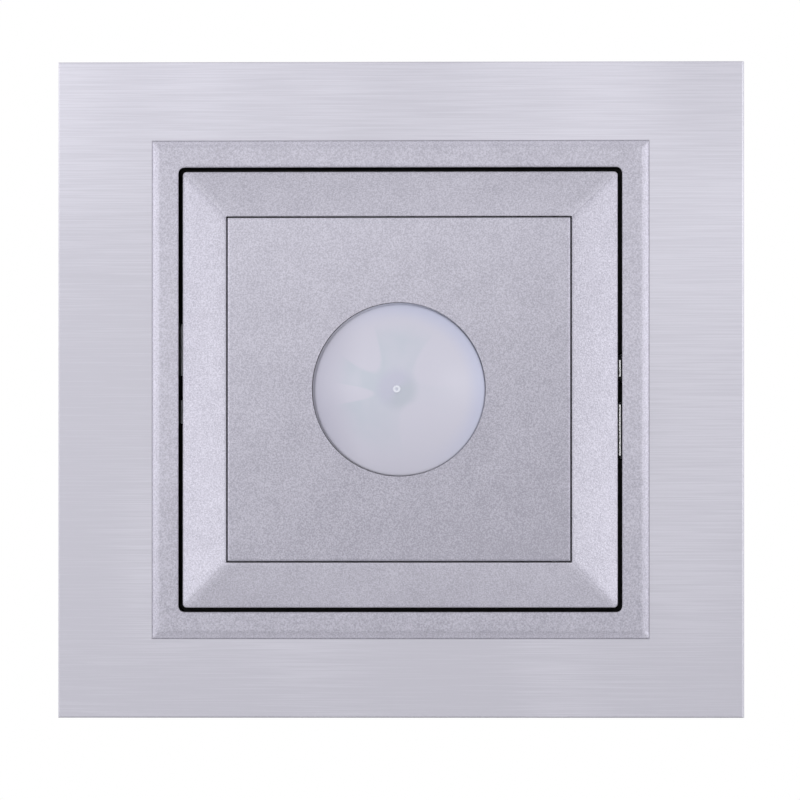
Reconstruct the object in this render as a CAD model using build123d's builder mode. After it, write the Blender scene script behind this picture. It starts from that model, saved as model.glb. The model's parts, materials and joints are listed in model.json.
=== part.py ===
from build123d import *
from math import atan2, cos, degrees, hypot, radians, sin, sqrt
import os

# Motion sensor light switch for a round 60 mm wall box, in millimetres.
# The origin is the middle of the device on the wall plane: X to the right, Z up, the front faces -Y.
# A height is measured from the wall plane towards the room, so it is negative inside the wall box.

os.makedirs("parts", exist_ok=True)

# Clearances shared by all pieces
overrun = 1.0
running_gap = 0.05
sliding_gap = 0.1
fitting_gap = 0.2
latch_gap = 0.3
part_gap = 0.6

# Borders of the front, seen square on, and how far each step stands out
hairline_gap = 0.17
bezel_border = 5.88
shadow_gap = 0.6
ring_border = 3.5
plate_gap = 0.03
plate_overhang = 1.0
plate_edge = 0.15
bezel_corner = 0.5
ring_corner = 0.8
face_proud = 0.3
bezel_drop = 2.4
ring_proud = 0.6
plate_thickness = 2.0

# Sensor face and lens
face_thickness = 1.6
face_wall = 1.3
face_edge_radius = 0.3
face_skirt_depth = 4.8
lens_hole_radius = 11.4
lens_boss_wall = 1.2
face_rib_width = 0.8
face_rib_depth = 1.1
latch_width = 8.0
latch_depth = 0.35
latch_height = 0.8
lens_flange_width = 1.1
lens_flange_thickness = 0.8
lens_dome_height = 4.2
lens_wall = 0.9
lens_petals = 5
lens_petal_tilt = 17.0
lens_rim_tilt = 33.0
nub_radius = 0.5
nub_height = 0.15
retainer_inner_radius = 11.0
retainer_thickness = 0.6
shroud_wall = 0.8

# Inner cover, sensor board and what stands on it
inner_cover_wall = 1.2
inner_cover_thickness = 1.2
board_thickness = 1.6
case_screw_radius = 1.0
case_screw_head_radius = 1.9
case_screw_head_height = 1.4
case_screw_length = 13.2
case_screw_slot_width = 0.6
case_screw_slot_depth = 0.6
cross_slot_share = 1.4
well_wall = 0.8
well_floor = 1.4
trimmer_size = 6.5
trimmer_height = 3.2
trimmer_gap = 0.75
trimmer_pitch = 9.0
dial_head_height = 1.7
dial_stem_radius = 1.5
dial_stem_length = 2.4
dial_radius = 2.7
dial_slot_width = 0.8
dial_slot_depth = 0.8
dial_edge = 0.3
pyro_can_radius = 4.1
pyro_flange_radius = 4.6
pyro_flange_height = 0.5
pyro_height = 4.4
pyro_lid = 0.4
pyro_window_width = 5.0
pyro_window_height = 4.0
photocell_radius = 2.4
photocell_height = 1.9
led_radius = 1.5
led_flange_radius = 1.9
led_flange_height = 1.0
led_height = 4.0
led_dome_share = 0.9
chip_width = 3.9
chip_length = 6.0
chip_height = 1.0
chip_leg_count = 5
chip_leg_width = 0.35
chip_leg_length = 0.8
chip_leg_thickness = 0.25
connector_inset = 4.0
connector_z = -6.0
connector_width = 2.5
connector_length = 10.0

# Support frame, its box screw slots, beads and tongues
box_screw_pitch = 60.0
slot_width = 3.8
slot_length = 7.0
slot_edge = 2.0
support_front = 1.0
support_rim = 4.95
support_corner_cut = 9.0
bead_length = 24.0
bead_width = 2.0
bead_height = 0.4
screw_head_room = 8.0
screw_head_height = 3.4
tongue_thickness = 0.6
near_tongue_setback = 2.4
deep_tongue_setback = 4.4
tongue_barb = 0.45
tongue_barb_height = 0.8
tongue_barb_drop = 0.8
short_tongue_z = 2.85
short_tongue_width = 3.1
long_tongue_z = -5.3
long_tongue_width = 6.8

# Carrier and cover bezel
carrier_flange_thickness = 1.8
skirt_side_room = 6.9
skirt_end_room = 4.9
skirt_wall = 1.6
collar_wall = 1.4
ring_wall = 1.4
ring_slope_width = 0.9
carrier_rib_width = 1.0
carrier_rib_spread = 36.0
ledge_setback = 3.6
ledge_thickness = 1.0
bezel_bulge = 0.18
bezel_roof = 1.2
bezel_lip_wall = 1.2
bezel_lip_depth = 3.4
bezel_rim_depth = 1.4
bezel_leg_wall = 1.0

# Rear housing
housing_wall = 1.4
boss_radius = 2.6
housing_flange_thickness = 1.2
housing_flange_side = 0.6
housing_flange_end = 2.0
housing_floor_gap = 1.6
housing_edge = 1.0
rib_width = 1.5
rib_depth = 1.0
side_rib_spread = 14.0
side_rib_shift = 1.0
top_rib_spread = 20.0
hook_width = 6.0
hook_spread = 20.0
hook_depth = 1.0
hook_height = 2.0
vent_count = 5
vent_pitch = 4.0
vent_width = 1.5
vent_height = 8.0
vent_depth = 12.0

# Power board and the parts on it
power_board_depth = 2.8
power_board_gap = 0.3
relay_width = 20.5
relay_length = 10.2
relay_height = 15.6
relay_edge = 0.5
film_width = 18.0
film_length = 7.5
film_height = 13.5
film_edge = 1.0
electrolytic_radius = 5.0
electrolytic_height = 12.5
filter_radius = 3.15
filter_height = 11.0
can_groove_share = 0.93
can_groove_width = 0.8
can_edge = 0.4
varistor_radius = 4.5
varistor_thickness = 3.4
varistor_standoff = 1.2
varistor_lead_share = 0.5
lead_radius = 0.35
lead_bend = 0.8
fuse_radius = 1.8
fuse_length = 10.0
fuse_lead_run = 1.5
diode_pitch = 3.0
diode_radius = 1.25
diode_length = 4.0
diode_count = 4
diode_lead_run = 0.8

# Terminals, their screws and rising cages
pole_count = 4
cage_width = 5.2
cage_length = 5.0
cage_wall = 0.8
cage_floor = 0.9
pole_wall = 1.4
terminal_end_wall = 0.9
terminal_entry_wall = 1.4
terminal_back_wall = 2.0
wire_gap = 3.5
smallest_wire = 0.7
contact_thickness = 1.0
contact_width = 3.0
contact_leg = 0.8
contact_leg_width = 1.2
contact_leg_reach = 0.5
contact_seat = 0.6
thread_setback = 1.0
thread_wall = 1.4
terminal_screw_radius = 1.45
terminal_head_radius = 2.1
terminal_head_height = 1.8
terminal_slot_width = 0.8
terminal_slot_depth = 0.9
screw_seat_wall = 0.8
head_recess = 0.8
wire_hole_radius = 1.8
driver_hole_radius = 2.4
screw_point = 0.4

# Spreading claws, their screws and nuts
claw_screw_radius = 1.4
claw_head_radius = 2.3
claw_head_height = 1.8
claw_slot_width = 1.0
claw_slot_depth = 1.0
claw_screw_end = 2.5
claw_travel = 6.0
claw_swing = 16.6
claw_pivot_offset = 2.2
claw_pivot_depth = 2.6
claw_boss_radius = 1.9
claw_sheet = 1.0
claw_pivot_radius = 0.8
claw_web_front = 4.6
claw_flare = 0.9
claw_flare_length = 2.0
claw_tail = 3.0
claw_teeth = 3
claw_tooth_depth = 1.2
cam_lead = 2.0
cam_tail = 0.3
cam_points = 7
nut_rest = 15.0
nut_half_across = 2.3
nut_half_along = 2.5
nut_half_width = 2.6
nut_edge = 0.4
nut_pin_radius = 1.0
ear_half_width = 1.7
rivet_head_radius = 1.4
rivet_head_height = 0.5

# The case is square, and its widest row or column of parts decides its size, which comes to 42 mm
pocket_width = cage_width + 2 * fitting_gap
pocket_length = cage_length + 2 * latch_gap
pole_pitch = pocket_width + pole_wall
terminal_width = (pole_count - 1) * pole_pitch + pocket_width + 2 * terminal_end_wall
terminal_length = terminal_entry_wall + pocket_length + terminal_back_wall
diode_reach = diode_length / 2 + diode_lead_run + lead_radius
terminal_row = terminal_width + 2 * (fitting_gap + 2 * boss_radius)
relay_row = rib_depth + 2 * varistor_radius + relay_width + 2 * boss_radius + 3 * part_gap
capacitor_row = film_width + 2 * electrolytic_radius + 2 * filter_radius + 4 * part_gap
board_column = (
    part_gap
    + terminal_length
    + 2 * diode_reach
    + 2 * electrolytic_radius
    + relay_length
    + 4 * latch_gap
    + rib_depth
)
shroud_inner_radius = lens_hole_radius - fitting_gap
shroud_outer_radius = shroud_inner_radius + shroud_wall
trimmer_reach = shroud_outer_radius + trimmer_gap + trimmer_size
cavity_need = max(terminal_row, relay_row, capacitor_row, board_column)
cover_need = 2 * (trimmer_reach + 2 * fitting_gap + inner_cover_wall)
housing_size = max(cavity_need + 2 * housing_wall, cover_need)
cavity_size = housing_size - 2 * housing_wall
housing_corner = housing_wall + boss_radius
board_corner = housing_size / 2 - housing_corner
corner_points = [(x * board_corner, z * board_corner) for x in (-1, 1) for z in (-1, 1)]

# The front, worked outwards from the case: the sensor face comes to the 45 mm of a wiring module
inner_cover_size = housing_size
module_size = inner_cover_size + 2 * (fitting_gap + face_wall)
bezel_opening = module_size + 2 * hairline_gap
bezel_size = bezel_opening + 2 * bezel_border
ring_opening = bezel_size + 2 * shadow_gap
ring_size = ring_opening + 2 * ring_border
plate_opening = ring_size + 2 * plate_gap
collar_size = ring_opening + 2 * collar_wall
support_width = collar_size + 2 * support_rim
support_height = box_screw_pitch + slot_length + 2 * slot_edge
carrier_width = support_width + 2 * (skirt_side_room + skirt_wall)
carrier_height = support_height + 2 * (skirt_end_room + skirt_wall)
plate_width = carrier_width + 2 * plate_overhang
plate_height = carrier_height + 2 * plate_overhang

# Heights, stacked from the wall to the room
housing_front = support_front + housing_flange_thickness
sensor_board_front = housing_front + board_thickness
trimmer_front = sensor_board_front + trimmer_height
dial_head_rear = trimmer_front + fitting_gap
dial_front = dial_head_rear + dial_head_height
inner_cover_front = dial_front + fitting_gap
inner_cover_rear = inner_cover_front - inner_cover_thickness
boss_rear = inner_cover_front + fitting_gap
retainer_front = boss_rear + retainer_thickness
face_rear = retainer_front + lens_flange_thickness
face_front = face_rear + face_thickness
bezel_front = face_front - face_proud
ring_front = bezel_front - bezel_drop
plate_front = ring_front - ring_proud
plate_rear = plate_front - plate_thickness
carrier_flange_rear = plate_rear - carrier_flange_thickness
bezel_rim_rear = ring_front - bezel_rim_depth

# Heights, stacked from the wall into the wall box
power_board_front = -power_board_depth
power_board_rear = power_board_front - board_thickness
cage_front = power_board_rear - part_gap
cage_floor_rear = cage_front - cage_floor
contact_front = cage_floor_rear - wire_gap
contact_rear = contact_front - contact_thickness
cage_travel = wire_gap - smallest_wire
thread_front = contact_rear - thread_setback
cage_rear = thread_front - thread_wall
pocket_rear = cage_rear - cage_travel - fitting_gap
screw_seat = pocket_rear - screw_seat_wall
terminal_head_rear = screw_seat - terminal_head_height
terminal_rear = terminal_head_rear - head_recess
wire_height = (cage_floor_rear + contact_front) / 2
step_floor = terminal_rear - fitting_gap
step_rear = step_floor - housing_wall
board_parts_rear = power_board_rear - max(relay_height, film_height, electrolytic_height, filter_height)
housing_floor = min(board_parts_rear - housing_floor_gap, step_floor)
housing_rear = housing_floor - housing_wall

# Lens, and the places on the sensor board
lens_radius = lens_hole_radius - fitting_gap
lens_flange_radius = lens_hole_radius + lens_flange_width
boss_inner_radius = lens_flange_radius + sliding_gap
boss_outer_radius = boss_inner_radius + lens_boss_wall
dome_base = face_front - fitting_gap
dome_radius = (lens_radius**2 + lens_dome_height**2) / (2 * lens_dome_height)
dome_centre = dome_base + lens_dome_height - dome_radius
sensor_board_size = inner_cover_size - 2 * (inner_cover_wall + fitting_gap)
well_inner_radius = case_screw_head_radius + fitting_gap
well_outer_radius = well_inner_radius + well_wall
well_top = sensor_board_front + well_floor
case_screw_hole_radius = case_screw_radius + 3 * running_gap
trimmer_z = -shroud_outer_radius - trimmer_gap - trimmer_size / 2
dial_points = [(place * trimmer_pitch, trimmer_z) for place in (-1, 0, 1)]
photocell_offset = (pyro_flange_radius + shroud_inner_radius) / 2
chip_x = -(shroud_outer_radius + sensor_board_size / 2) / 2

# The places on the power board: terminals from below, relay from above, capacitors and diodes between
terminal_low = part_gap - cavity_size / 2
pocket_low = terminal_low + terminal_entry_wall
pocket_high = pocket_low + pocket_length
terminal_high = pocket_high + terminal_back_wall
step_high = terminal_high + part_gap
pole_z = (pocket_low + pocket_high) / 2
pole_x = [(place - (pole_count - 1) / 2) * pole_pitch for place in range(pole_count)]
power_board_size = cavity_size - 2 * power_board_gap
relay_z = cavity_size / 2 - rib_depth - latch_gap - relay_length / 2
electrolytic_z = relay_z - relay_length / 2 - latch_gap - electrolytic_radius
film_z = electrolytic_z
filter_z = electrolytic_z
varistor_z = relay_z - relay_length / 2 + varistor_thickness / 2
diode_z = terminal_high + latch_gap + diode_reach
fuse_z = diode_z
varistor_x = rib_depth + part_gap + varistor_radius - cavity_size / 2
relay_x = varistor_x + varistor_radius + part_gap + relay_width / 2
film_x = part_gap + film_width / 2 - cavity_size / 2
filter_x = cavity_size / 2 - part_gap - filter_radius
electrolytic_x = filter_x - filter_radius - part_gap - electrolytic_radius
diode_half_row = (diode_count - 1) / 2 * diode_pitch + diode_radius
diode_x = cavity_size / 2 - rib_depth - part_gap - diode_half_row
fuse_x = diode_x - diode_half_row - part_gap - fuse_length / 2 - fuse_lead_run - lead_radius
connector_x = connector_inset + connector_width / 2 - power_board_size / 2

# Support frame, the cover bezel's leg, and the tongues: side, z, width and height of the tip
housing_opening = housing_size + 2 * fitting_gap
tongue_outer = ring_opening / 2 - fitting_gap
tongue_inner = tongue_outer - tongue_thickness
near_tongue_front = ring_front - near_tongue_setback
deep_tongue_front = ring_front - deep_tongue_setback
tongues = [
    (1, short_tongue_z, short_tongue_width, near_tongue_front),
    (1, long_tongue_z, long_tongue_width, near_tongue_front),
    (-1, -short_tongue_z, short_tongue_width, deep_tongue_front),
    (-1, -long_tongue_z, long_tongue_width, deep_tongue_front),
]
bezel_leg_outer = tongue_inner - 2 * fitting_gap
bezel_leg_inner = bezel_leg_outer - bezel_leg_wall
ledge_inner = bezel_leg_outer + fitting_gap
ledge_front = ring_front - ledge_setback
ledge_rear = ledge_front - ledge_thickness

# Claws
claw_screw_x = housing_size / 2 + housing_flange_side + claw_head_radius + latch_gap
claw_pivot_x = claw_screw_x + claw_pivot_offset
web_outer = claw_pivot_x + claw_boss_radius
web_inner = web_outer - claw_sheet
cheek_inner = nut_half_width + sliding_gap
cheek_outer = cheek_inner + claw_sheet
ear_inner = cheek_outer + sliding_gap
ear_outer = ear_inner + claw_sheet
rivet_inner = cheek_inner + running_gap
claw_tip = -nut_rest - cam_lead - claw_tail
flare_start = claw_tip + claw_flare_length
claw_screw_tip = -nut_rest - nut_half_along - claw_screw_end


def front(height=0):
    """The plane parallel to the wall at this height, facing the room: X, then Z."""
    return Plane.XZ.offset(height)


def level(z=0, side=1):
    """The level plane at this z: outwards on one side of the device, then height."""
    return Plane(origin=(0, 0, z), x_dir=(side, 0, 0), z_dir=(0, 0, -side))


def upright(x=0):
    """The upright plane square to the wall at this x: Z, then height."""
    return Plane(origin=(x, 0, 0), x_dir=(0, 0, 1), z_dir=(1, 0, 0))


def step(points, start, end, radius, mode=Mode.ADD):
    """Round steps at these points of the front view, from one height to another."""
    with BuildSketch(front(start)) as circles:
        with Locations(*points):
            Circle(radius)
    extrude(circles.sketch, amount=end - start, mode=mode)


def block(points, start, end, width, height, mode=Mode.ADD):
    """Square steps at these points of the front view, from one height to another."""
    with BuildSketch(front(start)) as squares:
        with Locations(*points):
            Rectangle(width, height)
    extrude(squares.sketch, amount=end - start, mode=mode)


# Brushed metal plate with a sharp square outline
with BuildPart() as metal_faceplate:
    with BuildSketch(front(plate_rear)):
        Rectangle(plate_width, plate_height)
        Rectangle(plate_opening, plate_opening, mode=Mode.SUBTRACT)
    extrude(amount=plate_thickness)
    plate_rim = metal_faceplate.faces().sort_by(Axis.Y)[0].outer_wire().edges()
    chamfer(plate_rim, length=plate_edge)
metal_faceplate.part.label = "metal_faceplate"
export_step(metal_faceplate.part, "parts/metal_faceplate.step")

# Carrier: the ring that shows in the plate, the flange and skirt behind it, and the inner collar
ring_slope = degrees(atan2(ring_slope_width, ring_proud))
collar_middle = (ring_opening + collar_size) / 4
with BuildPart() as frame_carrier:
    with BuildSketch(front(carrier_flange_rear)):
        Rectangle(carrier_width, carrier_height)
    extrude(amount=carrier_flange_thickness)
    with BuildSketch(front(plate_rear)):
        Rectangle(ring_size, ring_size)
    extrude(amount=plate_thickness)
    with BuildSketch(front(plate_front)):
        Rectangle(ring_size, ring_size)
    extrude(amount=ring_proud, taper=ring_slope)
    with BuildSketch(front()):
        Rectangle(carrier_width, carrier_height)
        Rectangle(carrier_width - 2 * skirt_wall, carrier_height - 2 * skirt_wall, mode=Mode.SUBTRACT)
    extrude(amount=carrier_flange_rear)
    # ribs from the skirt to the collar, clear of the support frame
    with BuildSketch(front(support_front + latch_gap)):
        with GridLocations(0, carrier_rib_spread, 1, 2):
            Rectangle(carrier_width - skirt_wall, carrier_rib_width)
        with GridLocations(carrier_rib_spread, 0, 2, 1):
            Rectangle(carrier_rib_width, carrier_height - skirt_wall)
    extrude(amount=carrier_flange_rear - support_front - latch_gap)
    with BuildSketch(front(support_front)):
        Rectangle(collar_size, collar_size)
    extrude(amount=carrier_flange_rear - support_front)
    # the ring is cored from behind
    with BuildSketch(front(carrier_flange_rear)):
        Rectangle(ring_size - 2 * ring_wall, ring_size - 2 * ring_wall)
        Rectangle(collar_size, collar_size, mode=Mode.SUBTRACT)
    extrude(amount=ring_front - ring_wall - carrier_flange_rear, mode=Mode.SUBTRACT)
    with BuildSketch(front(support_front)):
        RectangleRounded(ring_opening, ring_opening, ring_corner)
    extrude(amount=ring_front - support_front, mode=Mode.SUBTRACT)
    # a ledge closes the shadow gap from behind
    with BuildSketch(front(ledge_rear)):
        Rectangle(ring_opening, ring_opening)
        Rectangle(2 * ledge_inner, 2 * ledge_inner, mode=Mode.SUBTRACT)
    extrude(amount=ledge_thickness)
    # openings for the tongues, and windows in the collar for their barbs
    ledge_middle = (bezel_leg_outer + ring_opening / 2) / 2
    ledge_reach = ring_opening / 2 - bezel_leg_outer
    for side, tongue_z, tongue_width, tongue_tip in tongues:
        window = tongue_width + 2 * latch_gap
        barb_front = tongue_tip - tongue_barb_drop
        ledge_place = [(side * ledge_middle, tongue_z)]
        block(ledge_place, ledge_rear, ledge_front, ledge_reach, window, mode=Mode.SUBTRACT)
        block(
            [(side * collar_middle, tongue_z)],
            barb_front - tongue_barb_height - latch_gap,
            barb_front + latch_gap,
            collar_wall,
            window,
            mode=Mode.SUBTRACT,
        )
    # room for the heads of the box screws
    block(
        [(0, collar_middle), (0, -collar_middle)],
        support_front,
        support_front + screw_head_height,
        screw_head_room,
        collar_wall,
        mode=Mode.SUBTRACT,
    )
frame_carrier.part.label = "frame_carrier"
export_step(frame_carrier.part, "parts/frame_carrier.step")

# Cover bezel: one slightly domed moulding run round the square with mitred corners
bezel_inner = bezel_opening / 2
bezel_fall = bezel_drop / bezel_border


def bezel_top(across):
    """Height of the bevel's chord this far from the middle."""
    return bezel_front - bezel_fall * (across - bezel_inner)


with BuildPart() as cover_bezel:
    with BuildLine(front()) as bezel_path:
        Polyline(
            (bezel_inner, 0),
            (bezel_inner, bezel_inner),
            (-bezel_inner, bezel_inner),
            (-bezel_inner, -bezel_inner),
            (bezel_inner, -bezel_inner),
            (bezel_inner, 0),
        )
    with BuildSketch(level()):
        with BuildLine():
            # the bevel runs on past the outline, which then trims it
            bezel_end = bezel_size / 2 + overrun
            bezel_middle = (bezel_inner + bezel_end) / 2
            ThreePointArc(
                (bezel_inner, bezel_front),
                (bezel_middle, bezel_top(bezel_middle) + bezel_bulge),
                (bezel_end, bezel_top(bezel_end)),
            )
            Polyline(
                (bezel_end, bezel_top(bezel_end)),
                (bezel_end, bezel_rim_rear),
                (bezel_leg_outer, bezel_rim_rear),
                (bezel_leg_outer, support_front),
                (bezel_leg_inner, support_front),
                (bezel_leg_inner, bezel_top(bezel_leg_inner) - bezel_roof),
                (bezel_inner + bezel_lip_wall, bezel_top(bezel_inner + bezel_lip_wall) - bezel_roof),
                (bezel_inner + bezel_lip_wall, bezel_front - bezel_lip_depth),
                (bezel_inner, bezel_front - bezel_lip_depth),
                (bezel_inner, bezel_front),
            )
        make_face()
    sweep(path=bezel_path.wire(), transition=Transition.RIGHT)
    with BuildSketch(front(support_front)):
        RectangleRounded(bezel_size, bezel_size, bezel_corner)
    extrude(amount=bezel_front - support_front, mode=Mode.INTERSECT)
    # room for the heads of the box screws
    leg_middle = (bezel_leg_inner + bezel_leg_outer) / 2
    block(
        [(0, leg_middle), (0, -leg_middle)],
        support_front,
        support_front + screw_head_height,
        screw_head_room,
        bezel_leg_wall,
        mode=Mode.SUBTRACT,
    )
    # and of the claw screws, where these reach the leg
    claw_places = [(claw_screw_x, 0), (-claw_screw_x, 0)]
    claw_head_room = claw_head_radius + latch_gap
    step(claw_places, support_front, support_front + screw_head_height, claw_head_room, mode=Mode.SUBTRACT)
    # bumps that the tongues grip
    for side, tongue_z, tongue_width, tongue_tip in tongues:
        bump_place = [(side * (bezel_leg_outer + fitting_gap / 2), tongue_z)]
        bump_front = tongue_tip - tongue_barb_drop
        block(bump_place, bump_front - tongue_barb_height, bump_front, fitting_gap, tongue_width)
cover_bezel.part.label = "cover_bezel"
export_step(cover_bezel.part, "parts/cover_bezel.step")

# Sensor face with its skirt, lens boss, ribs and latches
face_inner_size = module_size - 2 * face_wall
skirt_rear = face_front - face_skirt_depth
latch_rear = skirt_rear + sliding_gap
latch_line = face_inner_size / 2 - latch_depth / 2
latch_points = [(0, latch_line), (0, -latch_line)]
groove_line = inner_cover_size / 2 - latch_depth / 2
groove_points = [(0, groove_line), (0, -groove_line)]
with BuildPart() as sensor_face:
    with BuildSketch(front(skirt_rear)):
        Rectangle(module_size, module_size)
    extrude(amount=face_front - skirt_rear)
    face_rim = sensor_face.faces().sort_by(Axis.Y)[0].edges()
    fillet(face_rim, radius=face_edge_radius)
    with BuildSketch(front(skirt_rear)):
        Rectangle(face_inner_size, face_inner_size)
    extrude(amount=face_rear - skirt_rear, mode=Mode.SUBTRACT)
    with BuildSketch(front(face_rear - face_rib_depth)):
        Rectangle(face_inner_size, face_rib_width)
        Rectangle(face_rib_width, face_inner_size)
    extrude(amount=face_rib_depth)
    step([(0, 0)], boss_rear, face_rear, boss_outer_radius)
    step([(0, 0)], boss_rear, face_rear, boss_inner_radius, mode=Mode.SUBTRACT)
    step([(0, 0)], face_rear, face_front, lens_hole_radius, mode=Mode.SUBTRACT)
    block(latch_points, latch_rear, latch_rear + latch_height, latch_width, latch_depth)
sensor_face.part.label = "sensor_face"
export_step(sensor_face.part, "parts/sensor_face.step")

# Lens: a shallow dome outside, and inside a flat middle with petals and rim facets cut tangent to a ball
with BuildPart() as lens_hollow:
    step([(0, 0)], boss_rear, dome_base + lens_dome_height, lens_radius - lens_wall)
    facets = [(0, 0)]
    facets += [(lens_petal_tilt, 360 * petal / lens_petals) for petal in range(lens_petals)]
    facets += [(lens_rim_tilt, 180 * facet / lens_petals) for facet in range(2 * lens_petals)]
    for tilt, turn in facets:
        facet_way = Vector(0, -1, 0).rotate(Axis.X, tilt).rotate(Axis.Y, turn)
        facet_point = Vector(0, -dome_centre, 0) + facet_way * (dome_radius - lens_wall)
        split(bisect_by=Plane(origin=facet_point, z_dir=facet_way), keep=Keep.BOTTOM)

with BuildPart() as fresnel_lens:
    with BuildSketch(level()):
        with BuildLine():
            rim_across = lens_radius
            Polyline(
                (0, retainer_front),
                (lens_flange_radius, retainer_front),
                (lens_flange_radius, face_rear),
                (rim_across, face_rear),
                (rim_across, dome_base),
            )
            half_way = lens_radius / 2
            ThreePointArc(
                (rim_across, dome_base),
                (half_way, dome_centre + sqrt(dome_radius**2 - half_way**2)),
                (0, dome_base + lens_dome_height),
            )
            Line((0, dome_base + lens_dome_height), (0, retainer_front))
        make_face()
    revolve(axis=Axis((0, 0, 0), (0, -1, 0)))
    add(lens_hollow.part, mode=Mode.SUBTRACT)
    nub_front = dome_base + lens_dome_height + nub_height
    step([(0, 0)], nub_front - lens_wall, nub_front, nub_radius)
fresnel_lens.part.label = "fresnel_lens"
export_step(fresnel_lens.part, "parts/fresnel_lens.step")

with BuildPart() as lens_retainer:
    step([(0, 0)], boss_rear, retainer_front, lens_flange_radius + running_gap)
    step([(0, 0)], boss_rear, retainer_front, retainer_inner_radius, mode=Mode.SUBTRACT)
lens_retainer.part.label = "lens_retainer"
export_step(lens_retainer.part, "parts/lens_retainer.step")

with BuildPart() as sensor_shroud:
    step([(0, 0)], sensor_board_front, boss_rear - sliding_gap, shroud_outer_radius)
    step([(0, 0)], sensor_board_front, boss_rear - sliding_gap, shroud_inner_radius, mode=Mode.SUBTRACT)
sensor_shroud.part.label = "sensor_shroud"
export_step(sensor_shroud.part, "parts/sensor_shroud.step")

# Heat sensor: a round metal can with a dark window let into its front
pyro_front = sensor_board_front + pyro_height
with BuildPart() as pyro_sensor:
    step([(0, 0)], sensor_board_front, sensor_board_front + pyro_flange_height, pyro_flange_radius)
    step([(0, 0)], sensor_board_front, pyro_front, pyro_can_radius)
    pyro_rim = pyro_sensor.faces().sort_by(Axis.Y)[0].edges()
    fillet(pyro_rim, radius=pyro_lid / 2)
    lid_rear = pyro_front - pyro_lid
    block([(0, 0)], lid_rear, pyro_front, pyro_window_width, pyro_window_height, mode=Mode.SUBTRACT)
pyro_sensor.part.label = "pyro_sensor"
export_step(pyro_sensor.part, "parts/pyro_sensor.step")

with BuildPart() as pyro_window:
    with BuildSketch(front(lid_rear)):
        Rectangle(pyro_window_width - 2 * sliding_gap, pyro_window_height - 2 * sliding_gap)
    extrude(amount=pyro_lid / 2)
pyro_window.part.label = "pyro_window"
export_step(pyro_window.part, "parts/pyro_window.step")

with BuildPart() as photocell:
    photocell_front = sensor_board_front + photocell_height
    step([(photocell_offset, 0)], sensor_board_front, photocell_front, photocell_radius)
    photocell_rim = photocell.edges().filter_by(GeomType.CIRCLE).sort_by(Axis.Y)[0]
    chamfer(photocell_rim, length=photocell_height / 4)
photocell.part.label = "photocell"
export_step(photocell.part, "parts/photocell.step")

with BuildPart() as indicator_led:
    led_place = (-photocell_offset, 0)
    step([led_place], sensor_board_front, sensor_board_front + led_flange_height, led_flange_radius)
    step([led_place], sensor_board_front, sensor_board_front + led_height, led_radius)
    led_rim = indicator_led.faces().sort_by(Axis.Y)[0].edges()
    fillet(led_rim, radius=led_radius * led_dome_share)
indicator_led.part.label = "indicator_led"
export_step(indicator_led.part, "parts/indicator_led.step")

# Sensor board, clamped by the case screws between the housing's bosses and the cover's wells
with BuildPart() as sensor_board:
    with BuildSketch(front(housing_front)):
        Rectangle(sensor_board_size, sensor_board_size)
        with Locations(*corner_points):
            Circle(case_screw_hole_radius, mode=Mode.SUBTRACT)
    extrude(amount=board_thickness)
sensor_board.part.label = "sensor_board"
export_step(sensor_board.part, "parts/sensor_board.step")

with BuildPart() as controller_chip:
    with BuildSketch(front(sensor_board_front)):
        with Locations((chip_x, 0)):
            Rectangle(chip_width, chip_length)
    extrude(amount=chip_height)
    with BuildSketch(front(sensor_board_front)):
        with Locations((chip_x, 0)):
            with GridLocations(0, chip_length / chip_leg_count, 1, chip_leg_count):
                Rectangle(chip_width + 2 * chip_leg_length, chip_leg_width)
    extrude(amount=chip_leg_thickness)
controller_chip.part.label = "controller_chip"
export_step(controller_chip.part, "parts/controller_chip.step")

# Three adjusters: a fixed body with a round well each, and a dial that turns in it
stem_rear = trimmer_front - dial_stem_length
with BuildPart() as trimmer_bodies:
    block(dial_points, sensor_board_front, trimmer_front, trimmer_size, trimmer_size)
    chamfer(trimmer_bodies.edges().filter_by(Axis.Y), length=dial_edge)
    step(
        dial_points,
        stem_rear - fitting_gap,
        trimmer_front,
        dial_stem_radius + running_gap,
        mode=Mode.SUBTRACT,
    )
trimmer_bodies.part.label = "trimmer_bodies"
export_step(trimmer_bodies.part, "parts/trimmer_bodies.step")

for dial_name, dial_point in zip(("time_dial", "lux_dial", "range_dial"), dial_points):
    with BuildPart() as dial:
        step([dial_point], stem_rear, dial_head_rear, dial_stem_radius)
        step([dial_point], dial_head_rear, dial_front, dial_radius)
        chamfer(dial.faces().sort_by(Axis.Y)[0].edges(), length=dial_edge)
        slot_start = dial_front - dial_slot_depth
        block([dial_point], slot_start, dial_front, dial_slot_width, 2 * dial_radius, mode=Mode.SUBTRACT)
        # an arrow end: one arm of a cross slot points at the setting
        arm_point = (dial_point[0] + dial_radius / 4, dial_point[1])
        block([arm_point], slot_start, dial_front, dial_radius / 2, dial_slot_width, mode=Mode.SUBTRACT)
    dial.part.label = dial_name
    export_step(dial.part, f"parts/{dial_name}.step")

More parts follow.
